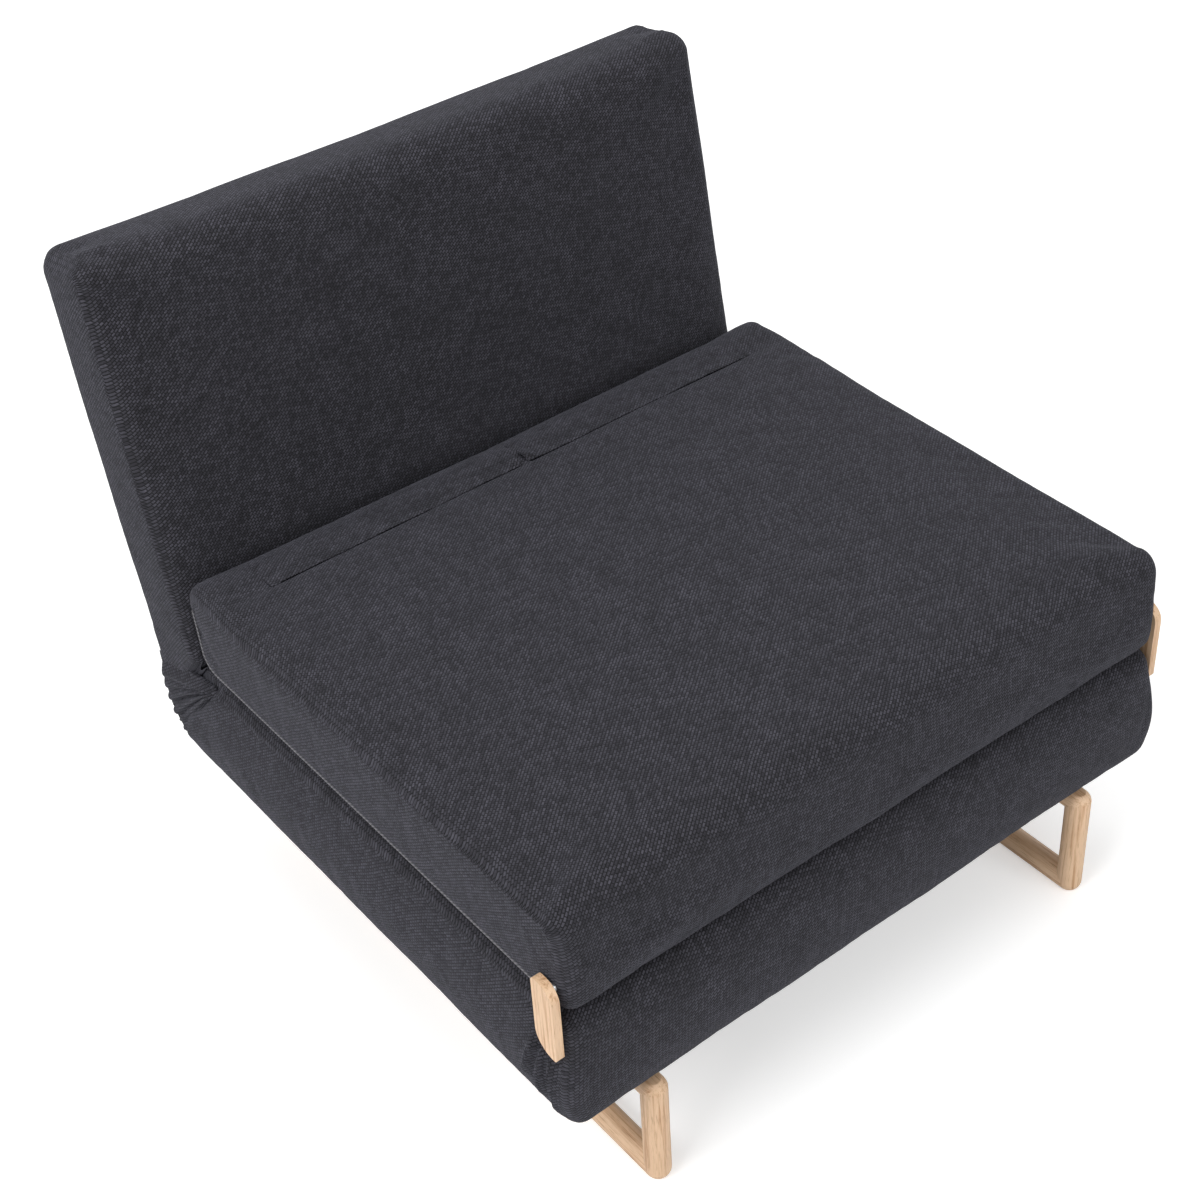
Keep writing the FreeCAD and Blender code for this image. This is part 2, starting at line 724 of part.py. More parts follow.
def block(low, high):
    """A plain box between two corners, as a cutting tool."""
    return Part.makeBox(high[0] - low[0], high[1] - low[1], high[2] - low[2], Vector(*low))


def both_sides(low, high):
    """The same cutting box on the right and mirrored on the left of the chair."""
    right = block(low, high)
    left = block((-high[0], low[1], low[2]), (-low[0], high[1], high[2]))
    return [right, left]


def bolt_holes(level, radius):
    """Clearance holes for the link plates' bolts at one height, through both side panels."""
    holes = []
    for sign in (-1, 1):
        start = Vector(sign * (frame_half - 12), pivot_y, level)
        holes.append(Part.makeCylinder(radius, 60, start, X_AXIS * sign))
    return holes


def carve(shape, tools):
    """A shape with several tools taken out of it, kept as one solid."""
    for tool in tools:
        shape = shape.cut(tool)
    return shape.Solids[0] if len(shape.Solids) == 1 else shape


def plate_seat(level, towards, inset):
    """The shallow seat in both side panels where a link plate turns about its pivot at one level.

    towards is +1 or -1, the side of the pivot that the plate lies on, and inset is how far under
    the plate's inner face the seat's floor lies.
    """
    floor = plate_inner - inset
    tools = []
    for sign in (-1, 1):
        start = Vector(sign * floor, pivot_y, level)
        tools.append(Part.makeCylinder(SEAT_RADIUS, SEAT_DEEP, start, X_AXIS * sign))
    for rear, start, end in (
        (pivot_y + SEAT_RADIUS, level, level + towards * (half_spacing + SEAT_MARGIN)),
        (pivot_y, level, level - towards * (size("plate_depth") / 2 + 1)),
    ):
        low = (floor, front_y - SEAT_RADIUS, min(start, end))
        tools += both_sides(low, (floor + SEAT_DEEP, rear, max(start, end)))
    return tools


def covered(form, name, openings, hollows, seats, region=None, placement=Placement()):
    """The cover and the foam of one cushion.

    openings go through both, hollows only through the foam, and seats is the (level, towards)
    pair of the link plates' seats, or None.
    """
    outer = cushion(form)
    inner = cushion(form, -cloth)
    core = cushion(form, -lining)
    if seats:
        air = size("plate_air")
        outer = carve(outer, plate_seat(seats[0], seats[1], air))
        inner = carve(inner, plate_seat(seats[0], seats[1], air + cloth))
        core = carve(core, plate_seat(seats[0], seats[1], air + lining))
    shell = outer.cut(inner)
    if region:
        shell = shell.common(region)
        core = core.common(region)
    feature(name + "_cover", carve(shell, openings), placement)
    feature(name + "_foam", carve(core, openings + hollows), placement)


round_edge = size("edge_round")
seat_round = size("seat_round")
crown = size("crown")
draw = size("side_draw")
swell = size("side_swell")
gap = size("face_gap")
rear_y = front_y + size("section_depth")
upper_pivot = fold_z + half_spacing
lower_pivot = fold_z - half_spacing
BOLT_HOLE = 8
SEAT_RADIUS = 35
SEAT_DEEP = 40
SEAT_MARGIN = 10

# Folding section
flip_low = fold_z + gap
flip_top = fold_z + size("flip_thickness")
flip_form = {
    "corners": [(front_y, flip_low), (rear_y, flip_low), (rear_y, flip_top), (front_y, flip_top)],
    "rounds": [round_edge, round_edge, seat_round, seat_round],
    "bulges": [0, crown / 2, crown, crown * 0.75],
    "end_bulges": [0, crown / 4, crown / 4, crown / 2],
    "sides": [(flip_low, -draw), ((flip_low + flip_top) / 2, -draw / 2), (flip_top, draw / 2)],
}
slot_y = front_y + size("foot_slot_y")
slot_half = size("slot_wide") / 2
frame_low = fold_z + size("flip_frame_low")
above_seat = flip_top + 4 * crown
slots = both_sides(
    (size("slot_inner"), slot_y - slot_half, frame_low - 1),
    (size("slot_outer"), slot_y + slot_half, above_seat),
)
flip_cavity = block(
    (-frame_half - 1, front_y + size("frame_front") - 1, frame_low - 1),
    (frame_half + 1, front_y + FLIP_RAIL_END + 1, frame_low + tube + 1),
)
# Room in the foam beside the frames, for the nuts within them and the brackets outside
ROOM_IN = 12
ROOM_OUT = 16
ARM_ROOM_OUT = 12
bracket_half = size("bracket_wide") / 2 + 1
bracket_from = frame_half - ROOM_IN
bracket_to = frame_half + ROOM_OUT
flip_brackets = both_sides(
    (bracket_from, pivot_y - bracket_half, upper_pivot - bracket_half - 1),
    (bracket_to, pivot_y + bracket_half, frame_low + tube + 1),
)
covered(
    flip_form,
    "flip",
    slots + bolt_holes(upper_pivot, BOLT_HOLE),
    [flip_cavity] + flip_brackets,
    (upper_pivot, -1),
)

# Welts sewn behind the two slots follow the crown of the seat.
welt_shell = cushion(flip_form, lining).cut(cushion(flip_form, size("slack")))
welt_from = slot_y + slot_half + 1
for side, sign in SIDES:
    ends = sorted((sign * (size("slot_inner") - 4), sign * size("slot_outer")))
    window = block(
        (ends[0], welt_from, flip_top - crown),
        (ends[1], welt_from + size("flap_depth"), above_seat),
    )
    feature("%s_slot_welt" % side, welt_shell.common(window).Solids[0])

# Base: the form runs on past the hinge and is trimmed at the mitre and below the pivot.
BASE_REAR_ROUND = 38
BASE_FRONT_ROUND = 14
base_rear = hinge_y + 15
base_high = fold_z - gap
base_form = {
    "corners": [
        (front_y - size("front_swell"), low_z),
        (base_rear, low_z),
        (base_rear, base_high),
        (front_y, base_high),
    ],
    "rounds": [BASE_FRONT_ROUND, BASE_REAR_ROUND, round_edge, round_edge],
    "bulges": [0, 0, 0, crown],
    "end_bulges": [0, 0, 0, crown],
    "sides": [
        (low_z, 0),
        (low_z + 50, swell),
        (lower_pivot - 22, swell * 0.4),
        (lower_pivot + 8, 0),
        (base_high, -draw / 2),
    ],
}
mitre = Vector(0, -math.sin(mitre_angle), math.cos(mitre_angle))
mitre_normal = Vector(0, math.cos(mitre_angle), math.sin(mitre_angle))
MITRE_RUN = 260
base_pivot = hinge_centre - mitre_normal * gap
base_far = base_pivot + mitre * MITRE_RUN
base_end = hinge_y - gap
base_meet = base_pivot + mitre * ((base_end - base_pivot.y) / mitre.y)
BEYOND = 60
base_region = slab(
    [
        (front_y - BEYOND, low_z - BEYOND),
        (base_end, low_z - BEYOND),
        (base_end, base_meet.z),
        (base_far.y, base_far.z),
        (front_y - BEYOND, base_far.z),
    ],
    width,
)
base_pocket = block(
    (-frame_half - 1, front_y + size("frame_front") - 1, low_z - 10),
    (frame_half + 1, front_y + BASE_RAIL_END + 1, frame_top + slat_thick + gap),
)
base_brackets = both_sides(
    (bracket_from, pivot_y - bracket_half, low_z - 10),
    (bracket_to, pivot_y + bracket_half, lower_pivot + bracket_half + 1),
)
HINGE_ROOM = 19
HINGE_ROOM_IN = 45
ARM_ROOM_FRONT = 25
ARM_ROOM_REAR = 40
arm_pockets = both_sides(
    (bracket_from, crease_y - ARM_ROOM_FRONT, low_z - 10),
    (frame_half + ARM_ROOM_OUT, hinge_y + ARM_ROOM_REAR, hinge_z + HINGE_ROOM),
)
hinge_rooms = []
for sign in (-1, 1):
    start = hinge_centre + X_AXIS * sign * (frame_half - HINGE_ROOM_IN)
    reach = HINGE_ROOM_IN + ARM_ROOM_OUT
    hinge_rooms.append(Part.makeCylinder(HINGE_ROOM, reach, start, X_AXIS * sign))
UNDER_MARGIN = 12
under_rear = front_y + BASE_RAIL_END - UNDER_MARGIN
base_opening = block(
    (-frame_half + UNDER_MARGIN, front_y + size("frame_front") + UNDER_MARGIN, low_z - 10),
    (frame_half - UNDER_MARGIN, under_rear, low_z + 10),
)
bolt_shafts = []
for sign in (-1, 1):
    for y in bolt_rows.values():
        foot = Vector(sign * size("sled_half"), y, 0)
        bolt_shafts.append(Part.makeCylinder(LEG_BOLT_RADIUS, LEG_BOLT_TOP, foot))
covered(
    base_form,
    "base",
    bolt_holes(lower_pivot, BOLT_HOLE),
    [base_pocket] + base_brackets + arm_pockets + hinge_rooms,
    (lower_pivot, 1),
    base_region,
)
base_cover = subparts[-2]
base_cover.Shape = carve(base_cover.Shape, [base_opening] + bolt_shafts)

# Dust cloth under the base, stapled to the frame inside the cover's turned-in edge
DUST_THICK = 1.5
cloth_inset = UNDER_MARGIN + 1
dust_cloth = block(
    (-frame_half + cloth_inset, front_y + size("frame_front") + cloth_inset, low_z),
    (frame_half - cloth_inset, under_rear - 1, low_z + DUST_THICK),
)
feature("base_dust_cloth", carve(dust_cloth, bolt_shafts))

# Backrest: drawn upright, face at Y = 0 and crease at Z = 0, and leaned back
back_deep = size("back_thickness")
back_top = size("back_height")
back_low = -hinge_fall - BEYOND
BACK_ROUND = 30
back_form = {
    "corners": [(0, back_low), (back_deep, back_low), (back_deep, back_top), (0, back_top)],
    "rounds": [10, 10, BACK_ROUND, BACK_ROUND],
    "bulges": [0, crown / 2, crown / 2, crown * 0.75],
    "end_bulges": [0, crown / 4, crown / 8, crown / 8],
    "sides": [(back_low, 0), (back_top / 2, draw / 4), (back_top, 0)],
}
upright_pivot = lean.inverse().multVec(hinge_centre)
cut_way = (upright_pivot * -1).normalize()
cut_normal = Vector(0, cut_way.z, -cut_way.y)
back_start = upright_pivot + cut_normal * gap
back_far = back_start + cut_way * MITRE_RUN
back_end = upright_pivot.z + gap
back_meet = back_start + cut_way * ((back_end - back_start.z) / cut_way.z)
back_region = slab(
    [
        (back_meet.y, back_end),
        (back_deep + BEYOND, back_end),
        (back_deep + BEYOND, back_top + BEYOND),
        (back_far.y, back_top + BEYOND),
        (back_far.y, back_far.z),
    ],
    width,
)
back_cavity = block(
    (-back_outer - 1, size("hinge_depth") - BACK_TUBE_DEPTH / 2 - 1, back_end - 5),
    (back_outer + 1, size("hinge_depth") + BACK_TUBE_DEPTH / 2 + 1, BACK_POST_TOP + 1),
)
arm_half = size("arm_wide") / 2 + 1
upper_arm_pockets = both_sides(
    (back_outer - 2, upright_pivot.y - arm_half, back_end - 5),
    (frame_half + ARM_ROOM_OUT, upright_pivot.y + arm_half, upright_pivot.z + ARM_REACH_UP + 2),
)
# Room for the lower arms when the backrest lies flat
FLAT_ROOM_REAR = 38
FLAT_ROOM_UP = 18
flat_rooms = both_sides(
    (back_outer - 2, upright_pivot.y, back_end - 5),
    (frame_half + ARM_ROOM_OUT, upright_pivot.y + FLAT_ROOM_REAR, back_end + FLAT_ROOM_UP),
)
upright_rooms = []
for room in hinge_rooms:
    turned_room = room.copy()
    turned_room.Placement = lean.inverse().multiply(room.Placement)
    upright_rooms.append(turned_room)
covered(
    back_form,
    "back",
    [],
    [back_cavity] + upper_arm_pockets + flat_rooms + upright_rooms,
    None,
    back_region,
    lean,
)

# Bend cover: the cloth that turns the corner behind the recline hinge
bend_top = lean.multVec(Vector(0, back_deep, upright_pivot.z - 2 * gap))
BEND_RISE = 5
BEND_ARCH = Vector(0, 8, -6)
BEND_BELOW_PIVOT = 4
bend_low = Vector(0, hinge_y + gap, low_z + BEND_RISE)
bend_mid = (bend_top + bend_low) * 0.5 + BEND_ARCH
bend_in = Vector(0, hinge_y + gap, hinge_z - BEND_BELOW_PIVOT)
bend_half = width / 2 + draw


def bend_prism(top, middle, low, inner, half):
    """A prism across the chair with one arched side, from the backrest round to the underside."""
    at = Vector(-half, 0, 0)
    edges = [
        Part.Arc(top + at, middle + at, low + at).toShape(),
        Part.makeLine(low + at, inner + at),
        Part.makeLine(inner + at, top + at),
    ]
    return Part.Face(Part.Wire(edges)).extrude(Vector(2 * half, 0, 0))


bend_outer = bend_prism(bend_top, bend_mid, bend_low, bend_in, bend_half)
inward = Vector(0, -0.8, 0.6) * cloth
bend_void = bend_prism(
    bend_top + inward, bend_mid + inward, bend_low + inward, bend_in + inward, bend_half - cloth
)
feature("bend_cover", bend_outer.cut(bend_void))

# Foot legs with their channels, bolts and rubber tips

foot_pivot_z = fold_z + size("foot_pivot_rise")
foot_total = foot_pivot_z - 2 * size("foot_pivot_rise") - size("foot_air")
foot_reach = foot_total - size("tip_long") / 2
CHANNEL_WALL = 1.5
BOLT_HEAD = 3
BOLT_HEAD_RADIUS = 7
BOLT_FOOT = top_rail_z - size("bar_radius") + 1
CHANNEL_AIR = 0.4
TIP_AIR = 0.8
TIP_LIP = 2
channel_half = slot_half - CHANNEL_AIR
channel_low = frame_low + 1
channel_high = frame_low + tube - 1
foot_half_thick = size("foot_thick") / 2
foot_half_wide = size("foot_wide") / 2

for side, sign in SIDES:
    pivot_x = sign * size("foot_pivot_half")
    leg = eye_bar(
        "%s_foot_leg" % side,
        foot_reach,
        "Dims.foot_wide",
        "Dims.foot_thick",
        [(0, "Dims.foot_pin_radius + Dims.running_air")],
    )
    # The bar's long side lies along X towards the middle, its flat sides face front and rear.
    quarter = Rotation(Vector(0, 0, 1), 90)
    laid = Rotation(Y_AXIS, -90 * sign).multiply(quarter)
    leg.Placement = Placement(Vector(pivot_x, slot_y - foot_half_thick, foot_pivot_z), laid)
    keep(leg, "%s_foot_leg" % side)

    tip_half = slot_half - TIP_AIR
    tip_tall = foot_half_wide + TIP_LIP
    tip_end = pivot_x - sign * foot_total
    tip_start = tip_end + sign * size("tip_long")
    tip_low = (min(tip_end, tip_start), slot_y - tip_half, foot_pivot_z - tip_tall)
    tip_high = (max(tip_end, tip_start), slot_y + tip_half, foot_pivot_z + tip_tall)
    tip = block(tip_low, tip_high)
    socket_ends = sorted((pivot_x - sign * foot_reach, tip_start))
    socket = block(
        (socket_ends[0], slot_y - foot_half_thick, foot_pivot_z - foot_half_wide),
        (socket_ends[1], slot_y + foot_half_thick, foot_pivot_z + foot_half_wide),
    )
    feature("%s_foot_tip" % side, tip.cut(socket))

    ends = sorted((sign * (size("slot_inner") + 2), sign * (size("slot_outer") - 1)))
    channel = block(
        (ends[0], slot_y - channel_half - CHANNEL_WALL, channel_low - CHANNEL_WALL),
        (ends[1], slot_y + channel_half + CHANNEL_WALL, channel_high),
    )
    trough = block(
        (ends[0] - 1, slot_y - channel_half, channel_low),
        (ends[1] + 1, slot_y + channel_half, channel_high + 1),
    )
    bolt_start = Vector(pivot_x, slot_y - slot_half - 4, foot_pivot_z)
    bolt_long = 2 * slot_half + 8
    drill = Part.makeCylinder(size("foot_pin_radius"), bolt_long, bolt_start, Y_AXIS)
    feature("%s_leg_channel" % side, channel.cut(trough).cut(drill))
    bolt = rod("%s_foot_bolt_shank" % side, "Dims.foot_pin_radius", bolt_long, bolt_start, Y_AXIS)
    head_start = bolt_start - Y_AXIS * BOLT_HEAD
    head = rod("%s_foot_bolt_head" % side, BOLT_HEAD_RADIUS, BOLT_HEAD, head_start, Y_AXIS)
    keep(join("%s_foot_bolt_solid" % side, [bolt, head]), "%s_foot_pivot_bolt" % side)

# Bolts that hold the sled legs to the base frame
below_bolts = block((-width, front_y, -1), (width, -front_y, BOLT_FOOT))
leg_bolts = [shaft.cut(below_bolts) for shaft in bolt_shafts]
feature("leg_bolts", Part.makeCompound(leg_bolts))

doc.recompute()

for item in doc.Objects:
    if "Invalid" in item.State or "Error" in item.State:
        raise RuntimeError("%s did not compute: %s" % (item.Name, item.State))
for item in subparts:
    if item.Shape.isNull() or not item.Shape.isValid():
        raise RuntimeError("%s has no valid shape" % item.Label)

os.makedirs("parts", exist_ok=True)
for item in subparts:
    item.Shape.exportStep("parts/%s.step" % item.Label)
print("%d sub-parts written" % len(subparts))
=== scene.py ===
import json
import math

import bpy
import mathutils
import numpy as np
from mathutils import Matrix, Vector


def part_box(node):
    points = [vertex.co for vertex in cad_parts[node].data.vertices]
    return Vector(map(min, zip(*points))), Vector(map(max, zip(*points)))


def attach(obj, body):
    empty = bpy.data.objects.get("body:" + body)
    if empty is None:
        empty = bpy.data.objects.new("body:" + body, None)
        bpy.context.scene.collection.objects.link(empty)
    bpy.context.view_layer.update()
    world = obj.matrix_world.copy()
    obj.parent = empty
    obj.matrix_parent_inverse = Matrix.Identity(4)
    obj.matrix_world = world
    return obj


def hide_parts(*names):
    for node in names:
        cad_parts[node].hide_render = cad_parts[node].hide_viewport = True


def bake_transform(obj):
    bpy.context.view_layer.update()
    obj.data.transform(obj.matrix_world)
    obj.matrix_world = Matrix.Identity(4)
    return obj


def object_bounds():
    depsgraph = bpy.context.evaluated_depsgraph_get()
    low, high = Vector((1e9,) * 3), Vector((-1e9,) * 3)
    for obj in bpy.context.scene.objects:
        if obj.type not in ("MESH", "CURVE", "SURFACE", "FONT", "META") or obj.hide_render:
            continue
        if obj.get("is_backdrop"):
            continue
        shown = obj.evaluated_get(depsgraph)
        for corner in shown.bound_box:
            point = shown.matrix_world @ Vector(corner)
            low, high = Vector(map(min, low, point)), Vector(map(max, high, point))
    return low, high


bl_info = {
    "name": "Convertible chair bed",
    "version": (1, 0, 0),
    "blender": (4, 5, 0),
    "location": "3D View > Sidebar > Chair bed",
    "description": "Upholstered chair that opens out to a bed, on oak sled legs",
    "category": "Object",
}

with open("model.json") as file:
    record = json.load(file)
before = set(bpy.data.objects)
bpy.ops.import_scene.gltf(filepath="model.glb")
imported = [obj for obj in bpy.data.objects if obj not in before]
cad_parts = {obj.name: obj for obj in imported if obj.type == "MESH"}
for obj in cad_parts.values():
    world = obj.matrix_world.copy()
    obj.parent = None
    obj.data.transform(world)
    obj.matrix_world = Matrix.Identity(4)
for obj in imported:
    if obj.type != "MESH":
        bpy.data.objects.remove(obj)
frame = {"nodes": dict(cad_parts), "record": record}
cad_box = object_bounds()
NODES = frame["nodes"]
MM = 0.001


# Colours and small node and mesh helpers


def linear(hex_code):
    """The linear red, green and blue of an sRGB hex colour."""
    values = np.array([int(hex_code[i : i + 2], 16) for i in (1, 3, 5)]) / 255.0
    low = values / 12.92
    high = ((values + 0.055) / 1.055) ** 2.4
    return tuple(float(v) for v in np.where(values <= 0.04045, low, high))


def rgba(colour):
    """A colour property's three values with full opacity."""
    return (*colour, 1.0)


def add_node(tree, kind, links=None, values=None, **settings):
    """Adds one node. links maps an input to (node, output), values maps an input to its value."""
    node = tree.nodes.new(kind)
    for name, value in settings.items():
        setattr(node, name, value)
    for name, value in (values or {}).items():
        node.inputs[name].default_value = value
    for name, (source, output) in (links or {}).items():
        tree.links.new(source.outputs[output], node.inputs[name])
    return node


def new_material(name, **shader_values):
    """A material with an empty tree but for its Principled shader and output."""
    made = bpy.data.materials.new(name)
    made.use_nodes = True
    made.node_tree.nodes.clear()
    tree = made.node_tree
    shader = add_node(tree, "ShaderNodeBsdfPrincipled", values=shader_values)
    add_node(tree, "ShaderNodeOutputMaterial", {"Surface": (shader, "BSDF")})
    return made, tree, shader


def colour_ramp(tree, source, stops):
    """The colour of a ramp of (place, linear colour) stops that reads a (node, output)."""
    node = add_node(tree, "ShaderNodeValToRGB", {"Fac": source})
    ramp = node.color_ramp
    while len(ramp.elements) < len(stops):
        ramp.elements.new(0.5)
    for element, (place, colour) in zip(ramp.elements, stops):
        element.position = place
        element.color = rgba(colour)
    return node, "Color"


def connect(tree, source, target, name):
    """Links a (node, output) to one input."""
    tree.links.new(source[0].outputs[source[1]], target.inputs[name])


def scaled(colour, share):
    """A colour that is so much darker or lighter."""
    return tuple(share * value for value in colour)


def object_place(tree):
    """A point's place on the object in metres, as a node and its output."""
    return add_node(tree, "ShaderNodeTexCoord"), "Object"


def weave_place(tree):
    """A point's place on the cloth as it was cut, in metres, as a node and its output."""
    return add_node(tree, "ShaderNodeUVMap", uv_map="weave"), "UV"


def noise(tree, place, scale, detail, **values):
    """Soft noise with so many waves to the metre, as a node and its output."""
    values = {"Scale": scale, "Detail": detail, **values}
    return add_node(tree, "ShaderNodeTexNoise", {"Vector": place}, values), "Fac"


def bands(tree, place, direction, **values):
    """Bands across one direction, as a node and its output."""
    settings = {"wave_type": "BANDS", "bands_direction": direction}
    return add_node(tree, "ShaderNodeTexWave", {"Vector": place}, values, **settings), "Fac"


def product(tree, first, second):
    """Two colours multiplied, as a node and its output."""
    links = {6: first, 7: second}
    settings = {"data_type": "RGBA", "blend_type": "MULTIPLY"}
    return add_node(tree, "ShaderNodeMix", links, {0: 1.0}, **settings), 2


def add_relief(tree, shader, height, strength, distance, **settings):
    """Gives the shader a relief of so many metres from a (node, output)."""
    values = {"Strength": strength, "Distance": distance}
    bump = add_node(tree, "ShaderNodeBump", {"Height": height}, values, **settings)
    connect(tree, (bump, "Normal"), shader, "Normal")


def vary_roughness(tree, shader, source, low, high):
    """Lets the roughness follow a (node, output) from low to high."""
    values = {"To Min": low, "To Max": high}
    spread = add_node(tree, "ShaderNodeMapRange", {"Value": source}, values)
    connect(tree, (spread, "Result"), shader, "Roughness")


def new_piece(name, points, faces, corner_uv=None, material=None):
    """A mesh object at the origin from points in millimetres, with an optional weave map."""
    mesh = bpy.data.meshes.new(name)
    mesh.from_pydata((np.asarray(points) * MM).tolist(), [], np.asarray(faces).tolist())
    if corner_uv is not None:
        layer = mesh.uv_layers.new(name="weave")
        layer.data.foreach_set("uv", (np.asarray(corner_uv) * MM).ravel().astype(np.float32))
    mesh.polygons.foreach_set("use_smooth", np.ones(len(mesh.polygons), bool))
    piece = bpy.data.objects.new(name, mesh)
    bpy.context.scene.collection.objects.link(piece)
    if material:
        mesh.materials.append(material)
    return piece


def read_points(mesh):
    """The mesh's points as an array in millimetres."""
    flat = np.empty(len(mesh.vertices) * 3, np.float32)
    mesh.vertices.foreach_get("co", flat)
    return flat.reshape(-1, 3).astype(float) / MM


def write_points(mesh, points):
    """Puts an array of points in millimetres back into the mesh."""
    mesh.vertices.foreach_set("co", (points * MM).astype(np.float32).ravel())
    mesh.update()


def point_normals(mesh):
    """The mesh's outward direction at each point."""
    flat = np.empty(len(mesh.vertices) * 3, np.float32)
    mesh.vertex_normals.foreach_get("vector", flat)
    return flat.reshape(-1, 3).astype(float)


def make_current(piece):
    """Makes one object the only chosen and the active one."""
    bpy.ops.object.select_all(action="DESELECT")
    piece.select_set(True)
    bpy.context.view_layer.objects.active = piece


def subdivide(piece):
    """Applies one step of smooth subdivision."""
    smooth = piece.modifiers.new("Subdivision", "SUBSURF")
    smooth.levels = 1
    smooth.render_levels = 1
    make_current(piece)
    bpy.ops.object.modifier_apply(modifier=smooth.name)


def quads(index):
    """Quads between neighbours of a two-way table of point numbers."""
    a = index[:-1, :-1]
    b = index[1:, :-1]
    c = index[1:, 1:]
    d = index[:-1, 1:]
    return np.stack([a, b, c, d], axis=-1).reshape(-1, 4)


# Corners of a net's cell as (row, column) steps, in the two orders that its faces go round
ALONG_FIRST = ((0, 0), (0, 1), (1, 1), (1, 0))
ACROSS_FIRST = ((0, 0), (1, 0), (1, 1), (0, 1))


def cell_uv(rows, columns, order):
    """The weave map at each cell's corners, for a net with rows and columns at these places."""
    table = np.stack(np.meshgrid(rows, columns, indexing="ij"), -1)
    high, wide = len(rows) - 1, len(columns) - 1
    spots = [table[a : high + a, b : wide + b].reshape(-1, 2) for a, b in order]
    return np.stack(spots, axis=1)


def closed_rows(index):
    """The same table with its first column repeated at the end, for surfaces that close."""
    return np.concatenate([index, index[:, :1]], axis=1)


def smooth_step(value, start, end):
    """0 before start, 1 after end, and the smooth curve 3t^2 - 2t^3 between them."""
    t = np.clip((value - start) / (end - start), 0.0, 1.0)
    return t * t * (3 - 2 * t)


def bump_along(points, start, end, width):
    """A ridge over a line: a bell curve of the distance to it, fading towards both ends."""
    start = np.asarray(start, float)
    along = np.asarray(end, float) - start
    length = np.linalg.norm(along)
    along = along / length
    offset = points - start
    run = offset @ along
    off = np.linalg.norm(offset - run[:, None] * along, axis=1)
    fade = smooth_step(run, -0.15 * length, 0.25 * length)
    fade = fade * (1 - smooth_step(run, 0.75 * length, 1.15 * length))
    return np.exp(-((off / width) ** 2)) * fade


def ripples(points, spread, seed, count=9):
    """Soft unevenness between about -1 and 1: a sum of waves in fixed scattered directions."""
    scatter = np.random.default_rng(seed)
    total = np.zeros(len(points))
    for _ in range(count):
        way = scatter.normal(size=3)
        way = way / np.linalg.norm(way) * scatter.uniform(0.6, 1.5) / spread
        total += np.sin(2 * math.pi * points @ way + scatter.uniform(0, 2 * math.pi))
    return total / count * 1.6


# Sizes of the real parts, in millimetres, that the cushions are set out from

HALF = 425.0
FRONT = -455.0
REAR = 245.0
FOLD = 318.0
LOW = 155.0
SEAT_TOP = 455.0
CREASE = (252.0, 318.0)
PIVOT = (314.7, 243.0)
LEAN = math.radians(10.2)
BACK_HIGH = 505.0
BACK_DEEP = 120.0
PLATE_MIDDLE = (-432.0, 318.0)
SLOT_FRONT = 163.0
SLOT_REAR = 175.0
SLOT_INNER = 9.0
SLOT_OUTER = 352.0


def lean_back(points):
    """From the upright backrest to its place: a turn of the lean angle about the crease."""
    y = points[:, 1]
    z = points[:, 2]
    turned_y = CREASE[0] + y * math.cos(LEAN) + z * math.sin(LEAN)
    turned_z = CREASE[1] - y * math.sin(LEAN) + z * math.cos(LEAN)
    return np.stack([points[:, 0], turned_y, turned_z], axis=1)


def rounded_outline(corners, rounds):
    """A side view with rounded corners, about one point to the millimetre.

    Sides are straight runs between corner arcs. Returns the arc length, the points, their
    outward directions, the arch 1 - (2t - 1)^2 along each side with the side's number, and the
    arc length at the middle of each corner, from the first corner on.
    """
    corners = np.asarray(corners, float)
    count = len(corners)
    points, normals, arch, side, marks = [], [], [], [], []
    arcs = []
    for k in range(count):
        here = corners[k]
        back = corners[k - 1] - here
        ahead = corners[(k + 1) % count] - here
        back = back / np.linalg.norm(back)
        ahead = ahead / np.linalg.norm(ahead)
        half = math.acos(np.clip(back @ ahead, -1, 1)) / 2
        reach = rounds[k] / math.tan(half)
        inward = (back + ahead) / np.linalg.norm(back + ahead)
        centre = here + inward * rounds[k] / math.sin(half)
        arcs.append((centre, here + back * reach, here + ahead * reach, rounds[k]))
    for k in range(count):
        centre, start, end, radius = arcs[k]
        first = math.atan2(*(start - centre)[::-1])
        last = math.atan2(*(end - centre)[::-1])
        sweep = (last - first) % (2 * math.pi)
        steps = max(8, int(radius * sweep))
        turn = first + sweep * np.linspace(0, 1, steps, endpoint=False)
        ray = np.stack([np.cos(turn), np.sin(turn)], axis=1)
        marks.append(len(np.concatenate(points)) + steps // 2 if points else steps // 2)
        points.append(centre + ray * radius)
        normals.append(ray)
        arch.append(np.zeros(steps))
        side.append(np.full(steps, k))
        target = arcs[(k + 1) % count][1]
        run = np.linalg.norm(target - end)
        steps = max(2, int(run))
        t = np.linspace(0, 1, steps, endpoint=False)
        along = (target - end) / run
        points.append(end + np.outer(t * run, along))
        normals.append(np.tile([along[1], -along[0]], (steps, 1)))
        arch.append(1 - (2 * t - 1) ** 2)
        side.append(np.full(steps, k))
    points = np.concatenate(points)
    normals = np.concatenate(normals)
    arch = np.concatenate(arch)
    side = np.concatenate(side)
    shift = -marks[0]
    points, normals = np.roll(points, shift, 0), np.roll(normals, shift, 0)
    arch, side = np.roll(arch, shift), np.roll(side, shift)
    steps = np.linalg.norm(np.diff(np.vstack([points, points[:1]]), axis=0), axis=1)
    length = np.concatenate([[0.0], np.cumsum(steps)])
    marks = [length[mark - marks[0]] for mark in marks] + [length[-1]]
    points = np.vstack([points, points[:1]])
    normals = np.vstack([normals, normals[:1]])
    arch = np.append(arch, arch[0])
    side = np.append(side, side[0])
    return length, points, normals, arch, side, marks


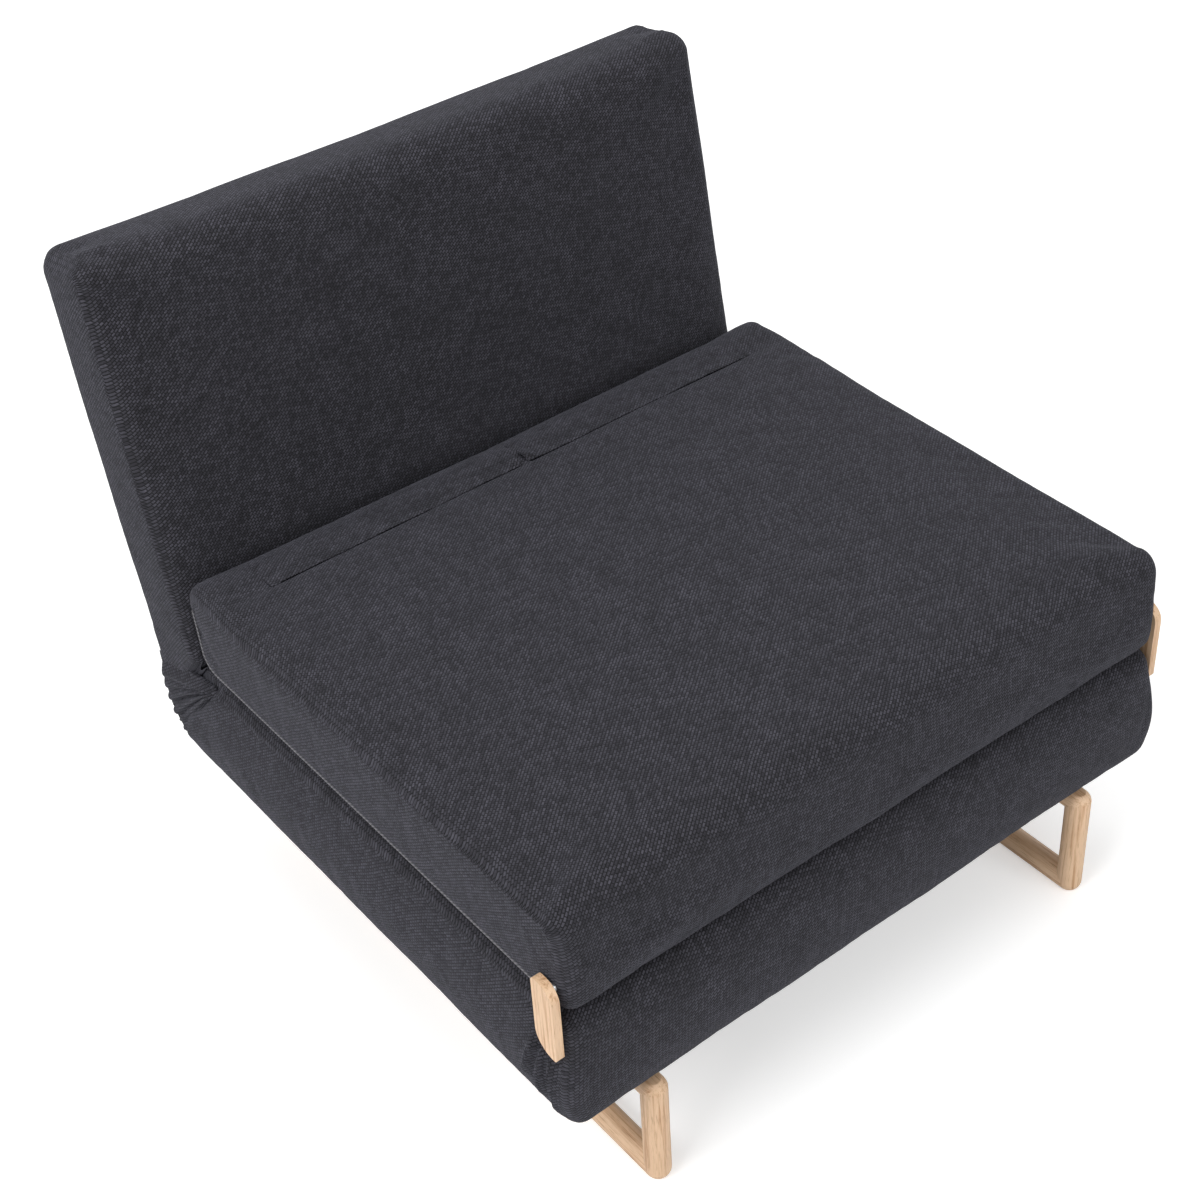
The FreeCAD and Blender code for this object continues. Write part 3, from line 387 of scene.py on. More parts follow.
def spread_stations(start, end, step, extra=()):
    """Places from start to end a step apart, made finer round the extra ones."""
    count = max(2, int(round((end - start) / step)))
    even = np.linspace(start, end, count + 1)[:-1]
    extra = np.asarray(sorted(extra), float)
    if len(extra):
        near = np.abs(even[:, None] - extra[None]).min(1) < step * 0.45
        near[0] = False
        even = np.concatenate([even[~near], extra])
    return np.sort(even)


def knot_curve(value, knots):
    """A smooth line through (place, offset) knots: cubic pieces with tangents from neighbours."""
    places = np.array([k[0] for k in knots], float)
    heights = np.array([k[1] for k in knots], float)
    slopes = np.gradient(heights, places)
    value = np.clip(value, places[0], places[-1])
    k = np.clip(np.searchsorted(places, value) - 1, 0, len(places) - 2)
    run = places[k + 1] - places[k]
    t = (value - places[k]) / run
    a = (2 * t**3 - 3 * t**2 + 1) * heights[k]
    b = (t**3 - 2 * t**2 + t) * run * slopes[k]
    c = (-2 * t**3 + 3 * t**2) * heights[k + 1]
    d = (t**3 - t**2) * run * slopes[k + 1]
    return a + b + c + d


class Cushion:
    """A cushion cover as one closed net of quads with known places.

    Its form holds corners, rounds, which four corners bound the side panels, how far each side
    view edge arches at the middle and at the ends of the chair, and the front view line of its
    side panels. rest keeps every point's place on the flat lay-out: across, depth and height.
    """

    # Rounding from the wrap to a side panel, as (across, inset) steps, with the seam half way
    EDGE = ((-20.0, 0.0), (-13.2, 1.0), (-7.6, 3.4), (-3.6, 6.8), (-1.1, 11.6), (0.0, 18.0))
    SEAM = 2
    # Where even columns begin, in from a side panel, and the rings that side panels start with
    INNER = 28
    RINGS = (19.5,)

    def __init__(self, form, step):
        length, line, normals, arch, side, marks = rounded_outline(form["corners"], form["rounds"])
        panel = [marks[k] for k in form["panel_corners"]] + [marks[-1]]
        fine = form["fine_rows"](panel) if "fine_rows" in form else ()
        long_far = spread_stations(panel[2], panel[3], step, fine)
        many = len(long_far)
        long_near = np.linspace(panel[0], panel[1], many, endpoint=False)
        few = max(3, int(round(max(panel[2] - panel[1], panel[4] - panel[3]) / step)))
        short_far = np.linspace(panel[1], panel[2], few, endpoint=False)
        short_near = np.linspace(panel[3], panel[4], few, endpoint=False)
        run = np.concatenate([long_near, short_far, long_far, short_near])
        line_y = np.interp(run, length, line[:, 0])
        line_z = np.interp(run, length, line[:, 1])
        out_y = np.interp(run, length, normals[:, 0])
        out_z = np.interp(run, length, normals[:, 1])
        size = np.hypot(out_y, out_z)
        out_y, out_z = out_y / size, out_z / size
        arch = np.interp(run, length, arch)
        side = side[np.searchsorted(length, run, side="right") - 1]
        mid = np.asarray(form["bulges"], float)[side] * arch
        end = np.asarray(form["end_bulges"], float)[side] * arch

        fine = form.get("fine_columns", ())
        inner = spread_stations(-HALF + self.INNER, HALF - self.INNER, step, fine)
        inner = np.append(inner, HALF - self.INNER)
        edge = [HALF + shift for shift, inset in self.EDGE]
        places = np.concatenate([-np.array(edge[::-1]), inner, edge])
        insets = np.array([inset for shift, inset in self.EDGE])
        inset = np.concatenate([insets[::-1], np.zeros(len(inner)), insets])
        rings = len(self.RINGS)
        places = np.concatenate([np.full(rings, -HALF), places, np.full(rings, HALF)])
        inset = np.concatenate([self.RINGS[::-1], inset, self.RINGS])

        rows, loop = len(places), len(run)
        share = (1 - (places / HALF) ** 2)[:, None]
        lift = end[None] + (mid - end)[None] * share - inset[:, None]
        y = line_y[None] + out_y[None] * lift
        z = line_z[None] + out_z[None] * lift
        x = places[:, None] / HALF * (HALF + knot_curve(z, form["sides"]))
        grid = np.stack([x, y, z], axis=-1)
        index = np.arange(rows * loop).reshape(rows, loop)
        points = [grid.reshape(-1, 3)]
        around = np.append(run, length[-1])
        wrap = closed_rows(index)
        wrap_faces = quads(wrap)
        wrap_faces = wrap_faces[:, [0, 3, 2, 1]]
        cell_row = np.repeat(np.arange(rows - 1), loop)
        uv = cell_uv(places, around, ALONG_FIRST)
        faces = [wrap_faces]
        base = rows * loop
        for sign, row in ((-1, 0), (1, rows - 1)):
            table = np.empty((many + 1, few + 1), int)
            table[:, 0] = index[row, : many + 1]
            table[-1, :] = index[row, many : many + few + 1]
            table[:, -1] = index[row, many + few : 2 * many + few + 1][::-1]
            table[0, :] = np.append(index[row, 2 * many + few :], index[row, 0])[::-1]
            table[1:-1, 1:-1] = base + np.arange((many - 1) * (few - 1)).reshape(many - 1, few - 1)
            base += (many - 1) * (few - 1)
            flat = grid.reshape(-1, 3)
            u = np.linspace(0, 1, many + 1)[:, None, None]
            v = np.linspace(0, 1, few + 1)[None, :, None]
            near, far = flat[table[:, 0]][:, None], flat[table[:, -1]][:, None]
            first, last = flat[table[0]][None], flat[table[-1]][None]
            patch = (1 - v) * near + v * far + (1 - u) * first + u * last
            patch = patch - (1 - u) * (1 - v) * first[:, :1] - u * (1 - v) * last[:, :1]
            patch = patch - (1 - u) * v * first[:, -1:] - u * v * last[:, -1:]
            patch[..., 0] = sign * (HALF + knot_curve(patch[..., 2], form["sides"]))
            points.append(patch[1:-1, 1:-1].reshape(-1, 3))
            cap = quads(table)
            faces.append(cap if sign > 0 else cap[:, [0, 3, 2, 1]])
        self.points = np.concatenate(points)
        self.faces = np.concatenate(faces)
        self.rest = self.points.copy()
        self.rest[: rows * loop, 0] = np.repeat(places, loop)
        corner = np.zeros((len(self.faces), 4, 2))
        corner[: len(wrap_faces)] = uv
        on_panel = np.ones(len(self.faces), bool)
        on_panel[: len(wrap_faces)] = (cell_row < rings) | (cell_row >= rows - 1 - rings)
        where = self.points[self.faces[on_panel]]
        hand = np.where(where[:, :1, 0] < 0, 1.0, -1.0)
        corner[on_panel] = np.stack([where[..., 1] * hand, where[..., 2]], axis=-1)
        self.corner_uv = corner
        self.edges = {-1: index[rings], 1: index[rows - 1 - rings]}
        seam = rings + self.SEAM
        self.seams = {-1: index[seam], 1: index[rows - 1 - seam]}

    def build(self, name, material):
        """Makes the object, with its lay-out places kept as an attribute."""
        piece = new_piece(name, self.points, self.faces, self.corner_uv, material)
        kept = piece.data.attributes.new("rest", "FLOAT_VECTOR", "POINT")
        kept.data.foreach_set("vector", self.rest.astype(np.float32).ravel())
        return piece


def kept_rest(mesh):
    """The lay-out places that a cushion keeps, in millimetres."""
    flat = np.empty(len(mesh.vertices) * 3, np.float32)
    mesh.attributes["rest"].data.foreach_get("vector", flat)
    return flat.reshape(-1, 3).astype(float)


FILL_FRAMES = 20


def inflate(piece, held, cap):
    """Fills a cover from within: a cloth simulation under pressure, gravity off.

    held marks the points that stay, and cap in millimetres bounds how far a point may move:
    its movement d becomes d * cap / (cap + d).
    """
    group = piece.vertex_groups.new(name="held")
    group.add(np.flatnonzero(held).tolist(), 1.0, "REPLACE")
    cloth = piece.modifiers.new("Cloth", "CLOTH")
    cloth.settings.quality = 5
    cloth.settings.mass = 0.3
    cloth.settings.tension_stiffness = 25
    cloth.settings.compression_stiffness = 25
    cloth.settings.shear_stiffness = 8
    cloth.settings.bending_stiffness = 0.6
    cloth.settings.vertex_group_mass = "held"
    cloth.settings.use_pressure = True
    cloth.settings.uniform_pressure_force = 4
    cloth.settings.shrink_min = -0.006
    cloth.settings.effector_weights.gravity = 0
    cloth.point_cache.frame_end = FILL_FRAMES
    start = read_points(piece.data)
    scene = bpy.context.scene
    for step in range(1, FILL_FRAMES + 1):
        scene.frame_set(step)
    depsgraph = bpy.context.evaluated_depsgraph_get()
    shown = piece.evaluated_get(depsgraph)
    end = read_points(shown.to_mesh())
    shown.to_mesh_clear()
    piece.modifiers.remove(cloth)
    piece.vertex_groups.remove(group)
    scene.frame_set(1)
    move = end - start
    size = np.linalg.norm(move, axis=1, keepdims=True)
    write_points(piece.data, start + move * cap / (cap + size))


def tube_along(name, path, radius, sides, material):
    """A thin round cord along an open path.

    Each ring lies in the plane across the path and starts from the direction across the chair.
    """
    path = np.asarray(path, float)
    ahead = np.gradient(path, axis=0)
    ahead = ahead / np.linalg.norm(ahead, axis=1, keepdims=True)
    across = np.array([1.0, 0.0, 0.0]) - ahead * ahead[:, :1]
    across = across / np.linalg.norm(across, axis=1, keepdims=True)
    other = np.cross(ahead, across)
    turn = np.linspace(0, 2 * math.pi, sides, endpoint=False)
    rings = (
        path[:, None]
        + radius * np.cos(turn)[None, :, None] * across[:, None]
        + radius * np.sin(turn)[None, :, None] * other[:, None]
    )
    table = closed_rows(np.arange(len(path) * sides).reshape(len(path), sides))
    around = np.concatenate([[0], np.cumsum(np.linalg.norm(np.diff(path, axis=0), axis=1))])
    girth = 2 * math.pi * radius / sides
    uv = cell_uv(around, girth * np.arange(sides + 1), ACROSS_FIRST)
    return new_piece(name, rings.reshape(-1, 3), quads(table), uv, material)


# Settings that a user would change


def shade_setting(name, description, code):
    """A colour setting with its default as an sRGB hex colour."""
    return bpy.props.FloatVectorProperty(
        name=name, description=description, subtype="COLOR", default=linear(code)
    )


class ChairBedCloth(bpy.types.PropertyGroup):
    """Upholstery cloth and how full the cushions are."""

    shade: shade_setting("Cloth", "Colour of the upholstery cloth", "#27262b")
    gap_shade: shade_setting("Weave gaps", "Colour between the ribs of the weave", "#040405")
    light_shade: shade_setting("Light yarn", "Colour of the lighter yarns of the weave", "#434249")
    rib_spacing: bpy.props.FloatProperty(
        name="Rib spacing",
        description="Distance between the slanting ribs of the weave",
        unit="LENGTH",
        default=0.0034,
    )
    rib_length: bpy.props.FloatProperty(
        name="Rib length",
        description="Length of one slanting stroke of the weave",
        unit="LENGTH",
        default=0.0052,
    )
    # The piping's light colour is a painted highlight: the catch-light along the seams of the
    # seat's side panels
    piping_highlight_shade: shade_setting("Piping", "Colour of the piping along the side seams", "#6f6e73")
    net_step: bpy.props.FloatProperty(
        name="Net step",
        description="Size of the quads that the cushions are simulated with",
        unit="LENGTH",
        default=0.007,
    )


class ChairBedFrame(bpy.types.PropertyGroup):
    """Colours of the oak, steel and beech parts."""

    oak: shade_setting("Oak", "Colour of the lacquered oak between its darker grain", "#e3c19f")
    oak_grain: shade_setting("Oak grain", "Colour of the darker grain of the oak", "#bd9068")
    beech: shade_setting("Beech", "Colour of the beech slats", "#d8b183")
    steel_coat: shade_setting(
        "Frame coat", "Colour of the powder coat on the steel frames", "#2b2c2e"
    )
    zinc: shade_setting("Zinc", "Colour of the zinc-plated bolts and channels", "#c3c6c8")
    lining: shade_setting("Dust cloth", "Colour of the spunbond cloth under the base", "#26262a")


class ChairBedStage(bpy.types.PropertyGroup):
    """Camera, lamps and floor."""

    camera_place: bpy.props.FloatVectorProperty(
        name="Camera",
        description="Where the camera stands",
        subtype="XYZ",
        unit="LENGTH",
        default=(-1.1775, -1.5876, 1.9203),
    )
    camera_yaw: bpy.props.FloatProperty(
        name="Camera yaw",
        description="Turn of the view from straight ahead to the right",
        subtype="ANGLE",
        default=math.radians(36.06),
    )
    camera_pitch: bpy.props.FloatProperty(
        name="Camera pitch",
        description="How far the view looks down",
        subtype="ANGLE",
        default=math.radians(38.54),
    )
    camera_roll: bpy.props.FloatProperty(
        name="Camera roll",
        description="Tilt of the picture about the view's own axis",
        subtype="ANGLE",
        default=math.radians(-3.65),
    )
    lens: bpy.props.FloatProperty(
        name="Lens",
        description="Focal length on a sensor 36 mm wide",
        default=64.695,
    )
    floor_shade: shade_setting("Floor", "Colour of the floor", "#f0f0f0")


# Materials


def upholstery():
    """Woven polyester upholstery cloth, melange yarn in a slanting rib weave.

    Short ribs lie side by side like bricks at 38 degrees, 3.4 mm apart and 5.2 mm long, with dark
    gaps between them, under clouds about 40 mm across. Very rough, with a faint cool sheen.
    """
    name = "upholstery_woven_polyester"
    if name in bpy.data.materials:
        return bpy.data.materials[name]
    cloth = bpy.context.scene.chair_bed_cloth
    made, tree, shader = new_material(
        name,
        **{
            "Roughness": 0.88,
            "Specular IOR Level": 0.25,
            "Sheen Weight": 0.12,
            "Sheen Roughness": 0.45,
            "Sheen Tint": rgba(linear("#c9cbe0")),
        },
    )
    weave = weave_place(tree)
    slant = {"Rotation": (0.0, 0.0, math.radians(38))}
    turned = add_node(tree, "ShaderNodeMapping", {"Vector": weave}, slant)
    # Threads never run quite straight: a slow drift of 2 mm in 100 bends the ribs
    drift = noise(tree, weave, 9.0, 1.0)[0]
    shift = add_node(
        tree,
        "ShaderNodeVectorMath",
        {"Vector": (drift, "Color")},
        {"Scale": 0.006},
        operation="SCALE",
    )
    links = {0: (turned, "Vector"), 1: (shift, "Vector")}
    place = add_node(tree, "ShaderNodeVectorMath", links, operation="ADD")
    # The brick node's sizes are in centimetres, so the map's metres are scaled by 100
    ribs = add_node(
        tree,
        "ShaderNodeTexBrick",
        {"Vector": (place, "Vector")},
        {
            "Scale": 100.0,
            "Brick Width": cloth.rib_length * 100,
            "Row Height": cloth.rib_spacing * 100,
            "Mortar Size": 0.1,
            "Mortar Smooth": 1.0,
            "Bias": 0.0,
            "Color1": rgba(cloth.shade),
            "Color2": rgba(cloth.light_shade),
            "Mortar": rgba(cloth.gap_shade),
        },
        offset=0.5,
        offset_frequency=2,
    )
    fibres = noise(tree, weave, 620.0, 3.0, Roughness=0.7)
    fibre_tone = colour_ramp(tree, fibres, [(0.32, (0.62, 0.62, 0.63)), (0.68, (1.4, 1.4, 1.42))])
    mottle = noise(tree, weave, 26.0, 4.0, Roughness=0.65)
    mottle_tone = colour_ramp(tree, mottle, [(0.3, (0.74, 0.74, 0.74)), (0.7, (1.2, 1.2, 1.21))])
    yarn = product(tree, (ribs, "Color"), fibre_tone)
    connect(tree, product(tree, yarn, mottle_tone), shader, "Base Color")
    links = {0: (ribs, "Fac"), 1: fibres}
    height = add_node(tree, "ShaderNodeMath", links, operation="SUBTRACT")
    add_relief(tree, shader, (height, "Value"), 0.7, 0.0012, invert=True)
    return made


def flap_cloth():
    """Woven polyester flap with a brushed back: the rib weave, patchy where it has been handled.

    The seat's weave runs on, under patches 15 to 40 mm across where the pile lies the other way
    and the cloth looks darker.
    """
    name = "flap_brushed_polyester"
    if name in bpy.data.materials:
        return bpy.data.materials[name]
    made = upholstery().copy()
    made.name = name
    tree = made.node_tree
    shader = next(n for n in tree.nodes if n.type == "BSDF_PRINCIPLED")
    woven = shader.inputs["Base Color"].links[0].from_node
    patches = noise(tree, weave_place(tree), 42.0, 3.0, Roughness=0.6)
    tone = colour_ramp(tree, patches, [(0.42, (0.55, 0.55, 0.56)), (0.56, (1.12, 1.12, 1.12))])
    connect(tree, product(tree, (woven, 2), tone), shader, "Base Color")
    return made


def piping_highlight_cloth():
    """Woven polyester piping, a plain yarn painted far lighter than the cloth: a painted highlight
    where the seams catch the light.
    """
    name = "piping_painted_highlight"
    if name in bpy.data.materials:
        return bpy.data.materials[name]
    shade = bpy.context.scene.chair_bed_cloth.piping_highlight_shade
    made, tree, shader = new_material(name, **{"Roughness": 0.75, "Sheen Weight": 0.2})
    # Twisted yarn: bands about 1.4 mm apart along the piping
    yarn = bands(tree, weave_place(tree), "DIAGONAL", Scale=110.0, Distortion=1.5, Detail=2.0)
    tone = colour_ramp(tree, yarn, [(0.2, scaled(shade, 0.45)), (0.8, tuple(shade))])
    connect(tree, tone, shader, "Base Color")
    add_relief(tree, shader, yarn, 0.4, 0.0004)
    return made


def dust_cloth_material():
    """Black spunbond polypropylene, as under chairs: matt, with embossed dots 1.6 mm apart."""
    shade = bpy.context.scene.chair_bed_frame.lining
    made, tree, shader = new_material("dust_cloth_spunbond", **{"Roughness": 0.92})
    place = object_place(tree)
    values = {"Scale": 620.0, "Randomness": 0.35}
    dots = add_node(tree, "ShaderNodeTexVoronoi", {"Vector": place}, values)
    fibres = noise(tree, place, 300.0, 4.0)
    stops = [(0.35, scaled(shade, 0.7)), (0.65, scaled(shade, 1.7))]
    connect(tree, colour_ramp(tree, fibres, stops), shader, "Base Color")
    add_relief(tree, shader, (dots, "Distance"), 0.5, 0.0004)
    return made


def oak(name, stretch):
    """Solid oak, planed and sanded, with a clear satin lacquer.

    Straight grain 2 to 4 mm apart runs along the bar, with fine open pores 0.3 mm wide and
    10 mm long. stretch is the noise's scale along X, Y and Z, small along the grain.
    """
    colours = bpy.context.scene.chair_bed_frame
    light, dark = tuple(colours.oak), tuple(colours.oak_grain)
    made, tree, shader = new_material(
        name,
        **{"Roughness": 0.5, "Coat Weight": 0.18, "Coat Roughness": 0.35, "IOR": 1.5},
    )
    place = object_place(tree)
    along = add_node(tree, "ShaderNodeMapping", {"Vector": place}, {"Scale": stretch}), "Vector"
    grain = noise(tree, along, 260.0, 5.0, Roughness=0.6, Distortion=0.35)
    grain_tone = colour_ramp(tree, grain, [(0.32, dark), (0.5, light), (0.75, light)])
    pores = noise(tree, along, 1500.0, 2.0)
    pore_tone = colour_ramp(tree, pores, [(0.28, (0.62, 0.54, 0.46)), (0.42, (1.0, 1.0, 1.0))])
    cloud = noise(tree, place, 9.0, 2.0)
    cloud_tone = colour_ramp(tree, cloud, [(0.35, (0.93, 0.91, 0.88)), (0.65, (1.04, 1.04, 1.04))])
    wood = product(tree, product(tree, grain_tone, pore_tone), cloud_tone)
    connect(tree, wood, shader, "Base Color")
    add_relief(tree, shader, pores, 0.25, 0.0003)
    return made


def beech():
    """Beech slats, planed: even pale wood with short flecks 2 mm long, unlacquered."""
    shade = bpy.context.scene.chair_bed_frame.beech
    made, tree, shader = new_material("slat_beech", **{"Roughness": 0.62})
    stretch = {"Scale": (0.08, 1.0, 1.0)}
    along = add_node(tree, "ShaderNodeMapping", {"Vector": object_place(tree)}, stretch), "Vector"
    grain = noise(tree, along, 240.0, 4.0, Distortion=0.4)
    tone = colour_ramp(tree, grain, [(0.35, scaled(shade, 0.72)), (0.6, tuple(shade))])
    connect(tree, tone, shader, "Base Color")
    add_relief(tree, shader, grain, 0.2, 0.0003)
    return made


def coated_steel():
    """Mild steel with a black powder coat: satin, with the fine orange peel of the baked powder."""
    shade = bpy.context.scene.chair_bed_frame.steel_coat
    made, tree, shader = new_material("frame_steel_powder_coat", **{"IOR": 1.5})
    place = object_place(tree)
    # Orange peel waves of the powder are about 2 mm across
    peel = noise(tree, place, 480.0, 2.0)
    wear = noise(tree, place, 18.0, 4.0)
    tone = colour_ramp(tree, wear, [(0.35, tuple(shade)), (0.7, scaled(shade, 1.5))])
    connect(tree, tone, shader, "Base Color")
    vary_roughness(tree, shader, wear, 0.38, 0.55)
    add_relief(tree, shader, peel, 0.25, 0.0002)
    return made


def zinc_plate():
    """Zinc-plated steel, as on bolts and rolled channels: bright grey, clouds 7 mm across."""
    shade = bpy.context.scene.chair_bed_frame.zinc
    made, tree, shader = new_material("fixings_zinc_plate", **{"Metallic": 1.0})
    cloud = noise(tree, object_place(tree), 150.0, 4.0)
    tone = colour_ramp(tree, cloud, [(0.3, scaled(shade, 0.75)), (0.7, tuple(shade))])
    connect(tree, tone, shader, "Base Color")
    vary_roughness(tree, shader, cloud, 0.28, 0.42)
    return made


def webbing_weave():
    """Elastic upholstery webbing, woven polypropylene over rubber: ribs 1.5 mm apart across it."""
    made, tree, shader = new_material("webbing_elastic", **{"Roughness": 0.8})
    ribs = bands(tree, object_place(tree), "X", Scale=105.0, Distortion=0.8)
    tone = colour_ramp(tree, ribs, [(0.2, linear("#4a4640")), (0.8, linear("#8c857a"))])
    connect(tree, tone, shader, "Base Color")
    add_relief(tree, shader, ribs, 0.6, 0.0006)
    return made


def black_rubber():
    """Moulded black rubber, as on furniture feet: matt with a fine eroded grain 1 mm across."""
    made, tree, shader = new_material("foot_tip_rubber", **{"Roughness": 0.7})
    grain = noise(tree, object_place(tree), 900.0, 3.0)
    tone = colour_ramp(tree, grain, [(0.35, linear("#161616")), (0.7, linear("#2a2a2a"))])
    connect(tree, tone, shader, "Base Color")
    add_relief(tree, shader, grain, 0.4, 0.0002)
    return made


def finish_nodes(names, material):
    """Gives carried-over parts their finish."""
    for name in names:
        data = NODES[name].data
        data.materials.clear()
        data.materials.append(material)


# Pieces


SEAT_FORM = {
    "corners": [(FRONT, FOLD + 0.5), (REAR, FOLD + 0.5), (REAR, SEAT_TOP), (FRONT, SEAT_TOP)],
    "rounds": [24, 42, 31, 31],
    "panel_corners": [0, 1, 2, 3],
    "bulges": [0, 1, 4, 2.5],
    "end_bulges": [0, 0.5, 0.5, 1.5],
    "sides": [(FOLD + 0.5, -5), (386, -4), (SEAT_TOP, 0)],
    "fine_columns": [
        sign * place
        for sign in (-1, 1)
        for place in (
            SLOT_INNER - 1.4,
            SLOT_INNER,
            SLOT_INNER + 0.9,
            SLOT_OUTER - 0.9,
            SLOT_OUTER,
            SLOT_OUTER + 1.4,
        )
    ],
}
BASE_FORM = {
    "corners": [
        (FRONT - 8, LOW),
        (314.2, LOW),
        PIVOT,
        (CREASE[0], FOLD - 0.5),
        (FRONT, FOLD - 0.5),
    ],
    "rounds": [26, 38, 21, 21, 22],
    "panel_corners": [0, 1, 3, 4],
    "bulges": [0, 0, 0, 0, 5],
    "end_bulges": [0, 0, 0, 0, 4],
    "sides": [(LOW, -2), (205, 9), (258, 3), (288, -2), (FOLD, -4)],
}
BACK_FORM = {
    "corners": [(75, -63), (BACK_DEEP, -62), (BACK_DEEP, BACK_HIGH), (0, BACK_HIGH), (0, 0)],
    "rounds": [21, 21, 32, 32, 21],
    "panel_corners": [1, 2, 3, 4],
    "bulges": [0, 1, 1, 3, 0],
    "end_bulges": [0, 1, 0, 0, 0],
    "sides": [(-62, -2.5), (250, -1.5), (BACK_HIGH, -2)],
}


SLOT_MIDDLE = (SLOT_FRONT + SLOT_REAR) / 2


def slot_rows(panel):
    """Rows of the seat's net beside the two slots, as arc lengths along its top side."""
    rounding = SEAT_FORM["rounds"][2]
    rear_flat = panel[2] + rounding * (math.pi / 4)
    rear_edge = (SLOT_REAR + 1.6, SLOT_REAR, SLOT_REAR - 0.8)
    front_edge = (SLOT_FRONT + 0.8, SLOT_FRONT, SLOT_FRONT - 1.6)
    edges = (*rear_edge, SLOT_MIDDLE, *front_edge)
    return [rear_flat + (REAR - rounding - edge) for edge in edges]


SEAT_FORM["fine_rows"] = slot_rows

# How far out the cloth may come behind a link plate
PLATE_LIMIT = 424.2


def press_by_plates(points):
    """Draws the side panels in behind the link plates."""
    near = 1 - smooth_step(points[:, 1], PLATE_MIDDLE[0] + 18, PLATE_MIDDLE[0] + 32)
    near = near * (1 - smooth_step(np.abs(points[:, 2] - PLATE_MIDDLE[1]), 52, 68))
    over = np.maximum(np.abs(points[:, 0]) - PLATE_LIMIT, 0)
    points[:, 0] -= np.sign(points[:, 0]) * over * near


def divide_and_fold(piece, folds):
    """Subdivides a cover and lays pull folds of (start, end, width, height) on it.

    The folds' places are those of the cover as laid out, which the subdivision carries along.
    """
    subdivide(piece)
    laid_out = kept_rest(piece.data)
    # A side panel's swell or hollow doesn't take it away from its folds
    on_side = np.abs(laid_out[:, 0]) > HALF - 14
    laid_out[on_side, 0] = np.sign(laid_out[on_side, 0]) * HALF
    push = np.zeros(len(laid_out))
    for start, end, width, height in folds:
        push += height * bump_along(laid_out, start, end, width)
    points = read_points(piece.data)
    points += point_normals(piece.data) * push[:, None]
    press_by_plates(points)
    write_points(piece.data, points)


def filled_cover(name, form, held_by, cap):
    """Lays out a cushion's cover, holds its edges and the places of held_by, and fills it.

    Returns the net, the piece, its lay-out places and its points as filled.
    """
    net = Cushion(form, bpy.context.scene.chair_bed_cloth.net_step / MM)
    piece = net.build(name, upholstery())
    rest = kept_rest(piece.data)
    held = held_by(rest)
    held[np.concatenate(list(net.edges.values()))] = True
    inflate(piece, held, cap)
    return net, piece, rest, read_points(piece.data)


def make_uneven(piece, points, rest, spread, seed, height, where):
    """Raises and lowers the points that where marks by soft ripples of the cloth."""
    points += point_normals(piece.data) * (ripples(rest, spread, seed) * height)[:, None] * where


def sink_seams(net, piece, points, depth=0.9):
    """Draws the sewn line between wrap and side panels in, and returns the new points."""
    rows = np.concatenate(list(net.seams.values()))
    points[rows] -= point_normals(piece.data)[rows] * depth
    return points


def both_ends(folds):
    """The same folds on the left side and mirrored on the right."""
    mirrored = []
    for start, end, width, height in folds:
        flip = np.array([-1.0, 1.0, 1.0])
        mirrored.append((flip * start, flip * end, width, height))
    return list(folds) + mirrored


# Pull folds round the lower ends of the link plates, from the plate to the base's lower edge
BASE_FOLDS = both_ends(
    [
        ((-425, -404, 262), (-425, -386, 196), 4.0, 5.4),
        ((-425, -411, 258), (-425, -397, 196), 3.6, -5.1),
        ((-425, -416, 252), (-425, -411, 184), 3.6, 5.7),
        ((-425, -423, 250), (-425, -424, 178), 3.4, -4.8),
        ((-425, -430, 250), (-424, -437, 176), 3.6, 5.1),
        ((-423, -440, 252), (-418, -449, 180), 3.4, -4.2),
        ((-418, -450, 262), (-408, -458, 190), 4.0, 4.5),
        ((-410, -456, 268), (-394, -462, 204), 4.0, -3.3),
        ((-425, -398, 300), (-425, -366, 262), 6.0, 2.7),
    ]
)
SEAT_FOLDS = both_ends(
    [
        ((-425, -412, 366), (-425, -396, 420), 6.0, 1.2),
        ((-425, -428, 366), (-418, -440, 424), 5.5, -1.4),
        ((-420, -452, 345), (-398, -455, 392), 6.0, 1.3),
        ((-425, 214, 440), (-400, 236, 452), 5.0, -1.3),
        ((-425, 226, 400), (-425, 190, 352), 12.0, -2.0),
        ((-425, 120, 425), (-425, -60, 420), 16.0, 1.6),
    ]
)
BACK_FOLDS = both_ends(
    [
        ((-424, 30, 500), (-380, 14, 498), 5.5, -2.0),
        ((-424, 40, 503), (-372, 30, 505), 5.0, 1.8),
        ((-420, 14, 492), (-388, 2, 470), 5.5, 1.8),
        ((-424, 60, 505), (-384, 62, 505), 6.0, -1.6),
        ((-424, 90, 500), (-392, 84, 505), 6.0, 1.5),
        ((-418, 4, 478), (-400, 0, 420), 5.0, -1.2),
    ]
)
# Where the photograph's deep crease runs over the base's rear upper corner, depth and height
DEEP_CREASE = ((206.0, 312.0), (278.0, 234.0), (319.0, 169.0))


def beyond_crease(depth, height):
    """How far a side view place lies behind the deep crease, in millimetres."""
    line = np.array(DEEP_CREASE)
    crease_depth = np.interp(-height, -line[:, 1], line[:, 0])
    return (depth - crease_depth) * 0.72


def put_in_view(name, data, across, up, back, place):
    """Adds a camera or lamp that looks against back, with its sides across and up."""
    item = bpy.data.objects.new(name, data)
    bpy.context.scene.collection.objects.link(item)
    matrix = np.eye(4)
    matrix[:3] = np.stack([across, up, back, place], axis=1)
    item.matrix_world = mathutils.Matrix(matrix.tolist())
    return item


